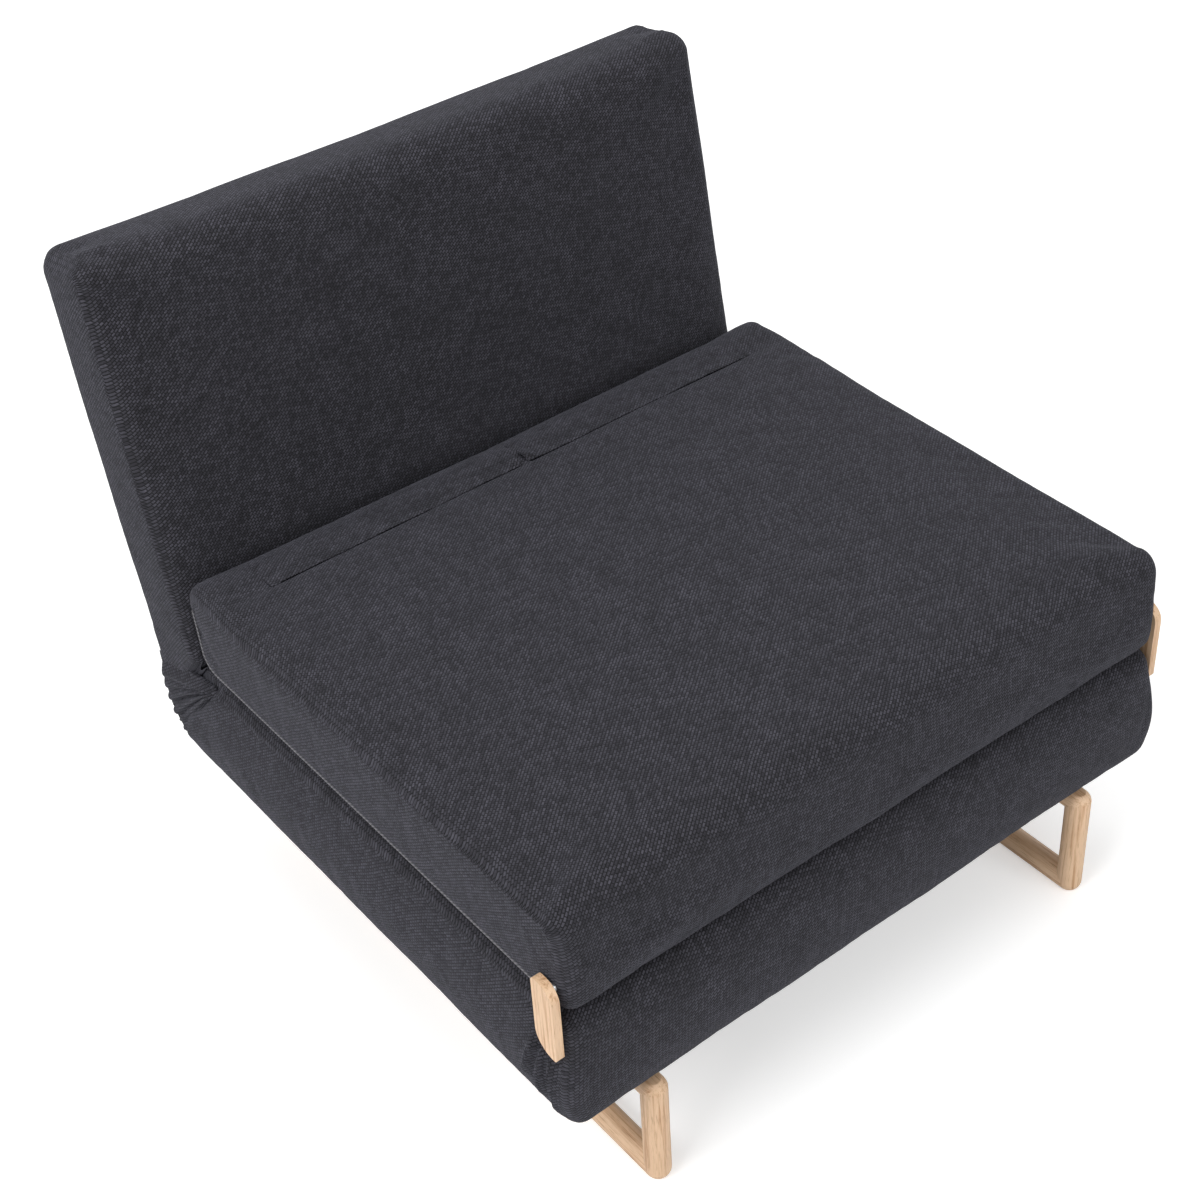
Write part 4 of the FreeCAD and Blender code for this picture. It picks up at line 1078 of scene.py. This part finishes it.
class CHAIRBED_OT_stage(bpy.types.Operator):
    """Plain pale floor, soft studio light and the camera of the photograph"""

    bl_idname = "chairbed.stage"
    bl_label = "Stage"

    def execute(self, context):
        stage = context.scene.chair_bed_stage
        scene = context.scene
        scene.view_settings.view_transform = "Standard"
        yaw, pitch, roll = stage.camera_yaw, stage.camera_pitch, stage.camera_roll
        ahead = np.array(
            [math.sin(yaw) * math.cos(pitch), math.cos(yaw) * math.cos(pitch), -math.sin(pitch)]
        )
        right = np.array([math.cos(yaw), -math.sin(yaw), 0.0])
        up = np.cross(right, ahead)
        turned_right = math.cos(roll) * right + math.sin(roll) * up
        turned_up = -math.sin(roll) * right + math.cos(roll) * up
        data = bpy.data.cameras.new("camera")
        data.lens = stage.lens
        data.sensor_width = 36.0
        data.clip_end = 50.0
        place = stage.camera_place
        scene.camera = put_in_view("camera", data, turned_right, turned_up, -ahead, place)

        world = bpy.data.worlds.new("studio")
        scene.world = world
        world.use_nodes = True
        tree = world.node_tree
        tree.nodes.clear()
        path = add_node(tree, "ShaderNodeLightPath")
        links = {0: (path, "Is Camera Ray"), 1: (path, "Is Glossy Ray")}
        seen = add_node(tree, "ShaderNodeMath", links, operation="MAXIMUM")
        links = {0: (seen, "Value"), 1: (path, "Is Transmission Ray")}
        seen = add_node(tree, "ShaderNodeMath", links, operation="MAXIMUM")
        soft, white = (
            add_node(tree, "ShaderNodeBackground", None, {"Color": (1, 1, 1, 1), "Strength": share})
            for share in (0.42, 1.0)
        )
        links = {0: (seen, "Value"), 1: (soft, "Background"), 2: (white, "Background")}
        either = add_node(tree, "ShaderNodeMixShader", links)
        add_node(tree, "ShaderNodeOutputWorld", {"Surface": (either, "Shader")})

        floor_material, tree, shader = new_material(
            "floor_paper", **{"Roughness": 0.9, "Specular IOR Level": 0.1}
        )
        place = object_place(tree)
        shade = tuple(stage.floor_shade)
        stops = [(0.3, scaled(shade, 0.985)), (0.7, shade)]
        connect(tree, colour_ramp(tree, noise(tree, place, 3.0, 2.0), stops), shader, "Base Color")
        # The lamps fall off, so the paper glows for the camera, more from 1.6 m to 3.2 m away
        far = add_node(tree, "ShaderNodeVectorMath", {0: place}, operation="LENGTH")
        lift = add_node(
            tree,
            "ShaderNodeMapRange",
            {"Value": (far, "Value")},
            {"From Min": 1.6, "From Max": 3.2, "To Min": 0.42, "To Max": 1.0},
        )
        path = add_node(tree, "ShaderNodeLightPath")
        links = {0: (path, "Is Camera Ray"), 1: (lift, "Result")}
        glow = add_node(tree, "ShaderNodeMath", links, operation="MULTIPLY")
        connect(tree, (glow, "Value"), shader, "Emission Strength")
        shader.inputs["Emission Color"].default_value = (1, 1, 1, 1)
        spread = np.linspace(-6000, 6000, 25)
        grid = np.stack(np.meshgrid(spread, spread, indexing="ij"), -1).reshape(-1, 2)
        points = np.column_stack([grid, np.zeros(len(grid))])
        faces = quads(np.arange(len(grid)).reshape(len(spread), -1))
        floor = new_piece("floor", points, faces, None, floor_material)
        floor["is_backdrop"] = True

        # All three look at the middle of the seat's height; places in metres, power in watts
        aim = np.array([0, 0, 0.3])
        for name, place, size, power in (
            ("key_lamp", (-2.6, -0.4, 2.6), 2.2, 74),
            ("front_lamp", (0.4, -3.2, 2.0), 2.2, 40),
            ("top_lamp", (0.3, 0.4, 3.4), 2.4, 38),
        ):
            lamp = bpy.data.lights.new(name, "AREA")
            lamp.shape = "SQUARE"
            lamp.size = size
            lamp.energy = power
            back = np.array(place) - aim
            back = back / np.linalg.norm(back)
            across = np.cross([0.0, 0.0, 1.0], back)
            across = across / np.linalg.norm(across)
            put_in_view(name, lamp, across, np.cross(back, across), back, place)
        return {"FINISHED"}


class CHAIRBED_OT_seat_section(bpy.types.Operator):
    """The folding section's cushion: a crowned foam seat in a tight cover with two slots"""

    bl_idname = "chairbed.seat_section"
    bl_label = "Seat section"

    def execute(self, context):
        def held(rest):
            by_slots = (np.abs(rest[:, 1] - SLOT_MIDDLE) < 12) & (rest[:, 2] > SEAT_TOP - 6)
            return (rest[:, 2] < FOLD + 6) | by_slots

        net, piece, rest, points = filled_cover("seat_section", SEAT_FORM, held, 9.0)
        # The slots are pressed 30 mm into the foam, behind rims 2 mm deep
        out = np.abs(rest[:, 0])
        inside_x = (out >= SLOT_INNER - 0.2) & (out <= SLOT_OUTER + 0.2)
        inside_y = (rest[:, 1] >= SLOT_FRONT - 0.2) & (rest[:, 1] <= SLOT_REAR + 0.2)
        in_slot = inside_x & inside_y & (rest[:, 2] > 440)
        half_long = (SLOT_OUTER - SLOT_INNER) / 2
        across_rim = np.abs(out - (SLOT_INNER + half_long)) > half_long - 0.3
        rim = (np.abs(rest[:, 1] - SLOT_MIDDLE) > 5.6) | across_rim
        points[in_slot, 2] -= np.where(rim[in_slot], 2.0, 30.0)
        make_uneven(piece, points, rest, 240, 11, 0.8, rest[:, 2:3] > FOLD + 20)
        points = sink_seams(net, piece, points)
        press_by_plates(points)
        write_points(piece.data, points)
        normals = point_normals(piece.data)
        for name, sign in (("left", -1), ("right", 1)):
            row = net.edges[sign]
            spot = rest[row]
            low = (spot[:, 2] < FOLD + 34) | (spot[:, 1] > REAR - 20) & (spot[:, 2] < SEAT_TOP - 30)
            low &= spot[:, 1] > PLATE_MIDDLE[0] + 24
            first = int(np.flatnonzero(low & ~np.roll(low, 1))[0])
            order = np.roll(row, -first)[: int(low.sum())]
            # Piping along the side panels' lower and rear edges, coloured light as a painted
            # highlight of the seams' catch-light
            path = points[order] + normals[order] * 0.5
            piping = tube_along("%s_seat_piping_highlight" % name, path, 1.3, 8, piping_highlight_cloth())
            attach(piping, "flip_section")
        divide_and_fold(piece, SEAT_FOLDS)
        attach(piece, "flip_section")
        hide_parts("flip_cover", "flip_foam")
        return {"FINISHED"}


class CHAIRBED_OT_base_section(bpy.types.Operator):
    """The base's cushion, whose side panels swell out below the link plates"""

    bl_idname = "chairbed.base_section"
    bl_label = "Base section"

    def execute(self, context):
        def held(rest):
            return (rest[:, 2] > FOLD - 5) | (rest[:, 2] < LOW + 4) | (rest[:, 1] > 250)

        net, piece, rest, points = filled_cover("base_section", BASE_FORM, held, 8.0)
        where = (rest[:, 1:2] < 240) & (rest[:, 2:3] < FOLD - 15)
        make_uneven(piece, points, rest, 200, 23, 0.8, where)
        points = sink_seams(net, piece, points)
        # The deep crease of the bend: a raised lip ahead of it and sunken cloth behind it
        behind = beyond_crease(rest[:, 1], rest[:, 2])
        on_side = smooth_step(np.abs(rest[:, 0]), HALF - 14, HALF - 1)
        lip = 2.2 * np.exp(-(((behind + 6) / 5.0) ** 2)) - 6.0 * smooth_step(behind, -3, 5)
        lip = lip * (rest[:, 1] > 195)
        points[:, 0] += np.sign(points[:, 0]) * on_side * lip
        press_by_plates(points)
        write_points(piece.data, points)
        divide_and_fold(piece, BASE_FOLDS)
        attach(piece, "base")
        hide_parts("base_cover", "base_foam")
        return {"FINISHED"}


class CHAIRBED_OT_back_section(bpy.types.Operator):
    """The backrest's cushion, leaning back from the crease"""

    bl_idname = "chairbed.back_section"
    bl_label = "Back section"

    def execute(self, context):
        def held(rest):
            return rest[:, 2] < 8

        net, piece, rest, points = filled_cover("back_section", BACK_FORM, held, 8.0)
        make_uneven(piece, points, rest, 220, 37, 0.9, rest[:, 2:3] > 20)
        points = sink_seams(net, piece, points)
        write_points(piece.data, lean_back(points))
        divide_and_fold(piece, BACK_FOLDS)
        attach(piece, "backrest")
        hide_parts("back_cover", "back_foam")
        return {"FINISHED"}


def close_and_turn_out(piece):
    """Fills the open ends of a net and turns all its faces outwards."""
    make_current(piece)
    bpy.ops.object.mode_set(mode="EDIT")
    bpy.ops.mesh.select_all(action="SELECT")
    bpy.ops.mesh.fill_holes(sides=0)
    bpy.ops.mesh.select_all(action="SELECT")
    bpy.ops.mesh.normals_make_consistent(inside=False)
    bpy.ops.object.mode_set(mode="OBJECT")


def closed_pad(name, top, low, weave, material):
    """A thin closed pad between two like nets. weave turns its points into map places."""
    count = top.shape[0] * top.shape[1]
    index = np.arange(count).reshape(top.shape[:2])
    faces = [quads(index), quads(index + count)[:, ::-1]]
    for edge in (index[0, ::-1], index[:, 0], index[-1], index[::-1, -1]):
        faces.append(np.stack([edge[:-1], edge[1:], edge[1:] + count, edge[:-1] + count], -1))
    faces = np.concatenate(faces)
    points = np.concatenate([top.reshape(-1, 3), low.reshape(-1, 3)])
    piece = new_piece(name, points, faces, weave(points[faces]), material)
    close_and_turn_out(piece)
    return piece


def mitre_directions():
    """In side view: from the pivot to the crease, and square to that towards the backrest."""
    along = np.array([CREASE[0] - PIVOT[0], CREASE[1] - PIVOT[1]])
    along = along / np.linalg.norm(along)
    return along, np.array([along[1], -along[0]])


def blend_bend(piece, reach):
    """Works out a start point beside the mitre from reach, leaves it unused, and bakes the piece's
    transform into its points.
    """
    over = mitre_directions()[1] * reach
    start = np.array(PIVOT) - over
    start = (0, start[0] * MM, start[1] * MM)
    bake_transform(piece)


# The reach to either side of the mitre that blend_bend is given, in millimetres
BEND_REACH = 38

# The gathers fan out from a place under the seat section's lower rear corner, depth and height
GATHER_POINT = (212.0, 308.0)


def side_gathers(name, sign):
    """Gathered cloth over the hinge on one side, as a thin closed pad on the side panels.

    A fan of angle a and radius r about the gather point. It stands proud by a height that rises
    from its edges, less bell-shaped valleys along fixed angles, each deeper away from the centre.
    """
    angles = np.linspace(-53.5, -12, 76)
    shares = np.linspace(0, 1, 40)
    a, v = np.meshgrid(angles, shares, indexing="ij")
    outer = knot_curve(angles, [(-53.5, 172), (-44, 177), (-40, 176), (-28, 162), (-12, 152)])
    r = 8 + (outer[:, None] - 8) * v
    rise = smooth_step(a, -53.5, -50) * (1 - smooth_step(a, -24, -12))
    rise = rise * smooth_step(v, 0.0, 0.15) * (1 - smooth_step(v, 0.93, 1.0))
    valleys = np.zeros_like(a)
    for middle, wide, depth in (
        (-47.0, 1.3, 0.55),
        (-42.2, 1.1, 0.7),
        (-36.6, 1.5, 0.95),
        (-31.0, 1.4, 0.5),
        (-26.0, 1.6, 0.3),
    ):
        drift = middle + 1.6 * np.sin(3.1 * v + middle)
        valleys += depth * np.exp(-(((a - drift) / wide) ** 2))
    height = rise * (7.0 - 8.2 * valleys * smooth_step(v, 0.02, 0.3)) - 2.4 * (1 - rise)
    y = GATHER_POINT[0] + r * np.cos(np.radians(a))
    z = GATHER_POINT[1] + r * np.sin(np.radians(a))
    top = np.stack([sign * (HALF - 2.0 + height), y, z], -1)
    low = np.stack([np.full_like(y, sign * (HALF - 9.0)), y, z], -1)

    def weave(spots):
        return np.stack([spots[..., 1] * -sign, spots[..., 2]], -1)

    return closed_pad(name, top, low, weave, upholstery())


class CHAIRBED_OT_bend_gusset(bpy.types.Operator):
    """The pleated cloth behind the hinge, over the bend between base and backrest"""

    bl_idname = "chairbed.bend_gusset"
    bl_label = "Bend gusset"
    # Points from its upper to its lower edge
    DOWN = 34

    def execute(self, context):
        # Side view of its outer face: angles about the pivot and the reach at each
        turn = np.linspace(-8, -89, self.DOWN)
        knots = [(-89, 79), (-66, 66), (-56, 61.5), (-35, 50), (-16, 44.5), (-8, 45)]
        reach = knot_curve(turn, knots)
        turn = np.radians(turn)
        share = np.linspace(0, 1, self.DOWN)
        # Two pleats across the chair, deepest at the sides
        pleat = -np.exp(-(((share - 0.62) / 0.05) ** 2)) - np.exp(-(((share - 0.96) / 0.04) ** 2))
        across = np.linspace(-1, 1, 120)
        inward = np.array([0.97, 0.84, 0.68, 0.5, 0.33, 0.16])
        spots = np.concatenate(
            [
                np.stack([np.full(len(inward), -1.0), inward[::-1]], -1),
                np.stack([across, np.ones(len(across))], -1),
                np.stack([np.full(len(inward), 1.0), inward], -1),
            ]
        )
        side = np.abs(spots[:, :1])
        rounding = 5.0 * np.clip((side - 0.975) / 0.025, 0, 1) ** 2 * (spots[:, 1:] == 1)
        radius = reach[None] * spots[:, 1:] - rounding
        radius = radius + (1.0 + 1.6 * side**8) * pleat[None] * (spots[:, 1:] > 0.9)
        x = np.repeat(spots[:, :1] * 423.0, self.DOWN, axis=1)
        y = PIVOT[0] + radius * np.cos(turn)[None]
        z = PIVOT[1] + radius * np.sin(turn)[None]
        net = np.stack([x, y, z], -1)
        index = np.arange(len(spots) * self.DOWN).reshape(-1, self.DOWN)
        faces = quads(np.vstack([index, index[:1]]))
        steps = np.abs(np.diff(x[:, 0])) + 60 * np.abs(np.diff(spots[:, 1]))
        run = np.concatenate([[0.0], np.cumsum(steps)])
        run = np.append(run, run[-1] + 20) - run[-1] / 2
        uv = cell_uv(run, -80 * share, ACROSS_FIRST)
        piece = new_piece("bend_gusset", net.reshape(-1, 3), faces, uv, upholstery())
        close_and_turn_out(piece)
        blend_bend(piece, BEND_REACH)
        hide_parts("bend_cover")
        for name, sign in (("left", -1), ("right", 1)):
            gathers = side_gathers("%s_bend_gathers" % name, sign)
            blend_bend(gathers, BEND_REACH)
        return {"FINISHED"}


class CHAIRBED_OT_crease_web(bpy.types.Operator):
    """The strip of cover tucked into the crease, which lies flat when the bed is open"""

    bl_idname = "chairbed.crease_web"
    bl_label = "Crease web"

    def execute(self, context):
        # A place with share w of the backrest's turn lies w * 80 degrees round the pivot when the
        # bed is flat. There the strip is straight, so its reach is 75 / cos((w - 0.5) * 80).
        t = np.linspace(0, 1, 31)
        w = t * t * (3 - 2 * t)
        reach = 75.0 / np.cos(np.radians((w - 0.5) * 80))
        along, over = mitre_directions()
        tuck = np.array(PIVOT) + np.outer(reach, along) + np.outer((t - 0.5) * 10, over)
        front = tuck[:1] + np.outer(np.linspace(16, 2, 6), [-1.0, 0.02])
        up = np.array([math.sin(LEAN), math.cos(LEAN)])
        rear = tuck[-1:] + np.outer(np.linspace(2, 16, 6), up)
        line = np.concatenate([front, tuck, rear])
        x = np.linspace(-HALF + 12, HALF - 12, 90)
        net = np.empty((len(x), len(line), 3))
        net[..., 0] = x[:, None]
        net[..., 1:] = line[None]
        run = np.concatenate([[0.0], np.cumsum(np.linalg.norm(np.diff(line, axis=0), axis=1))])
        points = [net.reshape(-1, 3)]
        faces = [quads(np.arange(len(points[0])).reshape(net.shape[:2]))[:, ::-1]]
        weave = [np.stack([np.repeat(x, len(line)), np.tile(-run, len(x))], -1)]
        for sign in (-1, 1):
            # A side web closes each end: the same strip at shares of its reach, down to the pivot
            shares = np.linspace(0.12, 1.06, 14)
            side = np.array(PIVOT) + shares[:, None, None] * np.outer(reach, along)[None]
            side = side + np.outer((t - 0.5) * 10, over)[None]
            swell = 5.0 * np.sin(math.pi * np.clip(shares, 0, 1))[:, None] * np.sin(math.pi * t)
            web = np.concatenate([sign * (HALF - 11.0 + swell)[..., None], side], -1)
            index = np.arange(web.size // 3).reshape(web.shape[:2]) + sum(map(len, points))
            faces.append(quads(index) if sign > 0 else quads(index)[:, ::-1])
            points.append(web.reshape(-1, 3))
            weave.append(np.stack([np.tile(t * 105.0, 14), np.repeat(75.0 * shares, len(t))], -1))
        points, faces = np.concatenate(points), np.concatenate(faces)
        uv = np.concatenate(weave)[faces]
        piece = new_piece("crease_web", points, faces, uv, upholstery())
        blend_bend(piece, 5)
        return {"FINISHED"}


def face_terms(x, y):
    """Terms of a smooth face z(x, y): powers of x up to 4 and of y up to 2."""
    x = x / HALF
    y = (y - 188.0) / 40.0
    return np.stack([x**i * y**j for i in range(5) for j in range(3)], -1)


def flap_weave(spots):
    """The flaps are cut along the seat's weave."""
    return np.stack([spots[..., 0], -spots[..., 1]], -1)


class CHAIRBED_OT_slot_flaps(bpy.types.Operator):
    """The two sewn flaps behind the slots that hide the foot legs"""

    bl_idname = "chairbed.slot_flaps"
    bl_label = "Slot flaps"

    def execute(self, context):
        seat = read_points(bpy.data.objects["seat_section"].data)
        near = (seat[:, 2] > SEAT_TOP - 4) & (np.abs(seat[:, 1] - 188) < 40)
        near &= np.abs(seat[:, 0]) < 385
        seat = seat[near]
        # The seat's face there, as a smooth surface of the second degree in y and fourth in x
        face = np.linalg.lstsq(face_terms(seat[:, 0], seat[:, 1]), seat[:, 2], rcond=None)[0]
        for name, sign in (("left", -1), ("right", 1)):
            across = np.linspace(SLOT_INNER - 5, SLOT_OUTER + 2, 120)
            depth = np.linspace(0, 1, 16)
            a, d = np.meshgrid(across, depth, indexing="ij")
            wander = 0.5 * np.sin(a / 21.0 + sign) + 0.35 * np.sin(a / 7.3)
            y = SLOT_FRONT - 2.0 + wander * (1 - d) + 51.0 * d
            lift = 0.75 - 0.4 * smooth_step(d, 0.7, 1.0)
            lift -= 0.55 * np.exp(-(((d - 0.09) / 0.03) ** 2))
            lift += 0.3 * np.sin(a / 13.0 + 9 * d) * np.sin(math.pi * d)
            # The inner end stands up a little, the outer end is drawn down in a crescent
            curl = np.exp(-(((a - SLOT_INNER) / 8) ** 2)) * (1 - smooth_step(d, 0.25, 0.8))
            lift += 4.5 * curl * smooth_step(d, 0.0, 0.12)
            lift -= 1.5 * np.exp(-(((a - SLOT_OUTER + 6 + 12 * d * d) / 2.5) ** 2))
            flat = np.stack([(sign * a).ravel(), y.ravel()], -1)
            z = (face_terms(flat[:, 0], flat[:, 1]) @ face).reshape(a.shape) + lift
            top = np.stack([sign * a, y, z], -1)
            low = top - np.array([0, 0, 1.6])
            piece = closed_pad("%s_slot_flap" % name, top, low, flap_weave, flap_cloth())
            subdivide(piece)
            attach(piece, "flip_section")
            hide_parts("%s_slot_welt" % name)
        return {"FINISHED"}


class CHAIRBED_OT_dust_cloth(bpy.types.Operator):
    """The cloth stapled under the base"""

    bl_idname = "chairbed.dust_cloth"
    bl_label = "Dust cloth"

    def execute(self, context):
        low, high = (np.array(corner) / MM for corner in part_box("base_dust_cloth"))
        u = np.linspace(low[0], high[0], 100)
        v = np.linspace(low[1], high[1], 90)
        x, y = np.meshgrid(u, v, indexing="ij")
        sag_x = 1 - ((x - (low[0] + high[0]) / 2) / ((high[0] - low[0]) / 2)) ** 2
        sag_y = 1 - ((y - (low[1] + high[1]) / 2) / ((high[1] - low[1]) / 2)) ** 2
        flat = np.stack([x, y, np.zeros_like(x)], -1).reshape(-1, 3)
        z = high[2] - 0.8 - 0.9 * (sag_x * sag_y).ravel() * (1 + 0.3 * ripples(flat, 160, 5))
        points = np.column_stack([flat[:, :2], z])
        index = np.arange(len(points)).reshape(x.shape)
        piece = new_piece("dust_cloth", points, quads(index)[:, ::-1], None, dust_cloth_material())
        wall = piece.modifiers.new("Solidify", "SOLIDIFY")
        wall.thickness = 0.0006
        wall.offset = 0
        make_current(piece)
        bpy.ops.object.modifier_apply(modifier=wall.name)
        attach(piece, "base")
        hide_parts("base_dust_cloth")
        return {"FINISHED"}


class CHAIRBED_OT_oak_parts(bpy.types.Operator):
    """Lacquered oak for the sled legs and the link plates, with the grain along each bar"""

    bl_idname = "chairbed.oak_parts"
    bl_label = "Oak parts"

    def execute(self, context):
        upright = [n for n in NODES if n.endswith("_post") and not n.startswith("back")]
        upright += ["left_link_plate", "right_link_plate"]
        lying = [n for n in NODES if n.endswith("_runner") or n.endswith("_top_rail")]
        lying = [n for n in lying if not n.startswith("back")]
        finish_nodes(upright, oak("oak_lacquered_upright", (1.0, 1.0, 0.035)))
        finish_nodes(lying, oak("oak_lacquered_lying", (1.0, 0.035, 1.0)))
        return {"FINISHED"}


class CHAIRBED_OT_hardware(bpy.types.Operator):
    """Steel frames, brackets, foot legs, bolts, slats, webbing and tips"""

    bl_idname = "chairbed.hardware"
    bl_label = "Frames and fixings"

    def execute(self, context):
        slots = {}
        for entry in frame["record"]["subparts"]:
            slots.setdefault(entry["material_slot"], []).append(entry["node"])
        finishes = {
            "frame_steel": coated_steel(),
            "zinc": zinc_plate(),
            "beech": beech(),
            "webbing": webbing_weave(),
            "tip_rubber": black_rubber(),
        }
        for name, material in finishes.items():
            finish_nodes(slots.get(name, []), material)
        return {"FINISHED"}


class CHAIRBED_PT_parts(bpy.types.Panel):
    """The chair bed's pieces and their sizes and colours"""

    bl_idname = "CHAIRBED_PT_parts"
    bl_label = "Chair bed"
    bl_space_type = "VIEW_3D"
    bl_region_type = "UI"
    bl_category = "Chair bed"

    def draw(self, context):
        layout = self.layout
        for group in ("chair_bed_cloth", "chair_bed_frame", "chair_bed_stage"):
            settings = getattr(context.scene, group)
            for name in type(settings).__annotations__:
                layout.prop(settings, name)
        for operator in OPERATORS:
            layout.operator(operator.bl_idname)


SETTINGS = (
    ("chair_bed_cloth", ChairBedCloth),
    ("chair_bed_frame", ChairBedFrame),
    ("chair_bed_stage", ChairBedStage),
)
OPERATORS = (
    CHAIRBED_OT_stage,
    CHAIRBED_OT_seat_section,
    CHAIRBED_OT_base_section,
    CHAIRBED_OT_back_section,
    CHAIRBED_OT_bend_gusset,
    CHAIRBED_OT_crease_web,
    CHAIRBED_OT_slot_flaps,
    CHAIRBED_OT_dust_cloth,
    CHAIRBED_OT_oak_parts,
    CHAIRBED_OT_hardware,
)


def register():
    for name, group in SETTINGS:
        bpy.utils.register_class(group)
        setattr(bpy.types.Scene, name, bpy.props.PointerProperty(type=group))
    for item in OPERATORS:
        bpy.utils.register_class(item)
    bpy.utils.register_class(CHAIRBED_PT_parts)


def unregister():
    bpy.utils.unregister_class(CHAIRBED_PT_parts)
    for item in reversed(OPERATORS):
        bpy.utils.unregister_class(item)
    for name, group in reversed(SETTINGS):
        delattr(bpy.types.Scene, name)
        bpy.utils.unregister_class(group)


def corners(box):
    """A box's two corners as plain lists of numbers."""
    return [[float(value) for value in corner] for corner in box]


def main():
    register()
    for item in OPERATORS:
        group, name = item.bl_idname.split(".")
        getattr(getattr(bpy.ops, group), name)()
    {"cad": corners(cad_box), "visual": corners(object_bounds())}


if __name__ == "__main__":
    main()
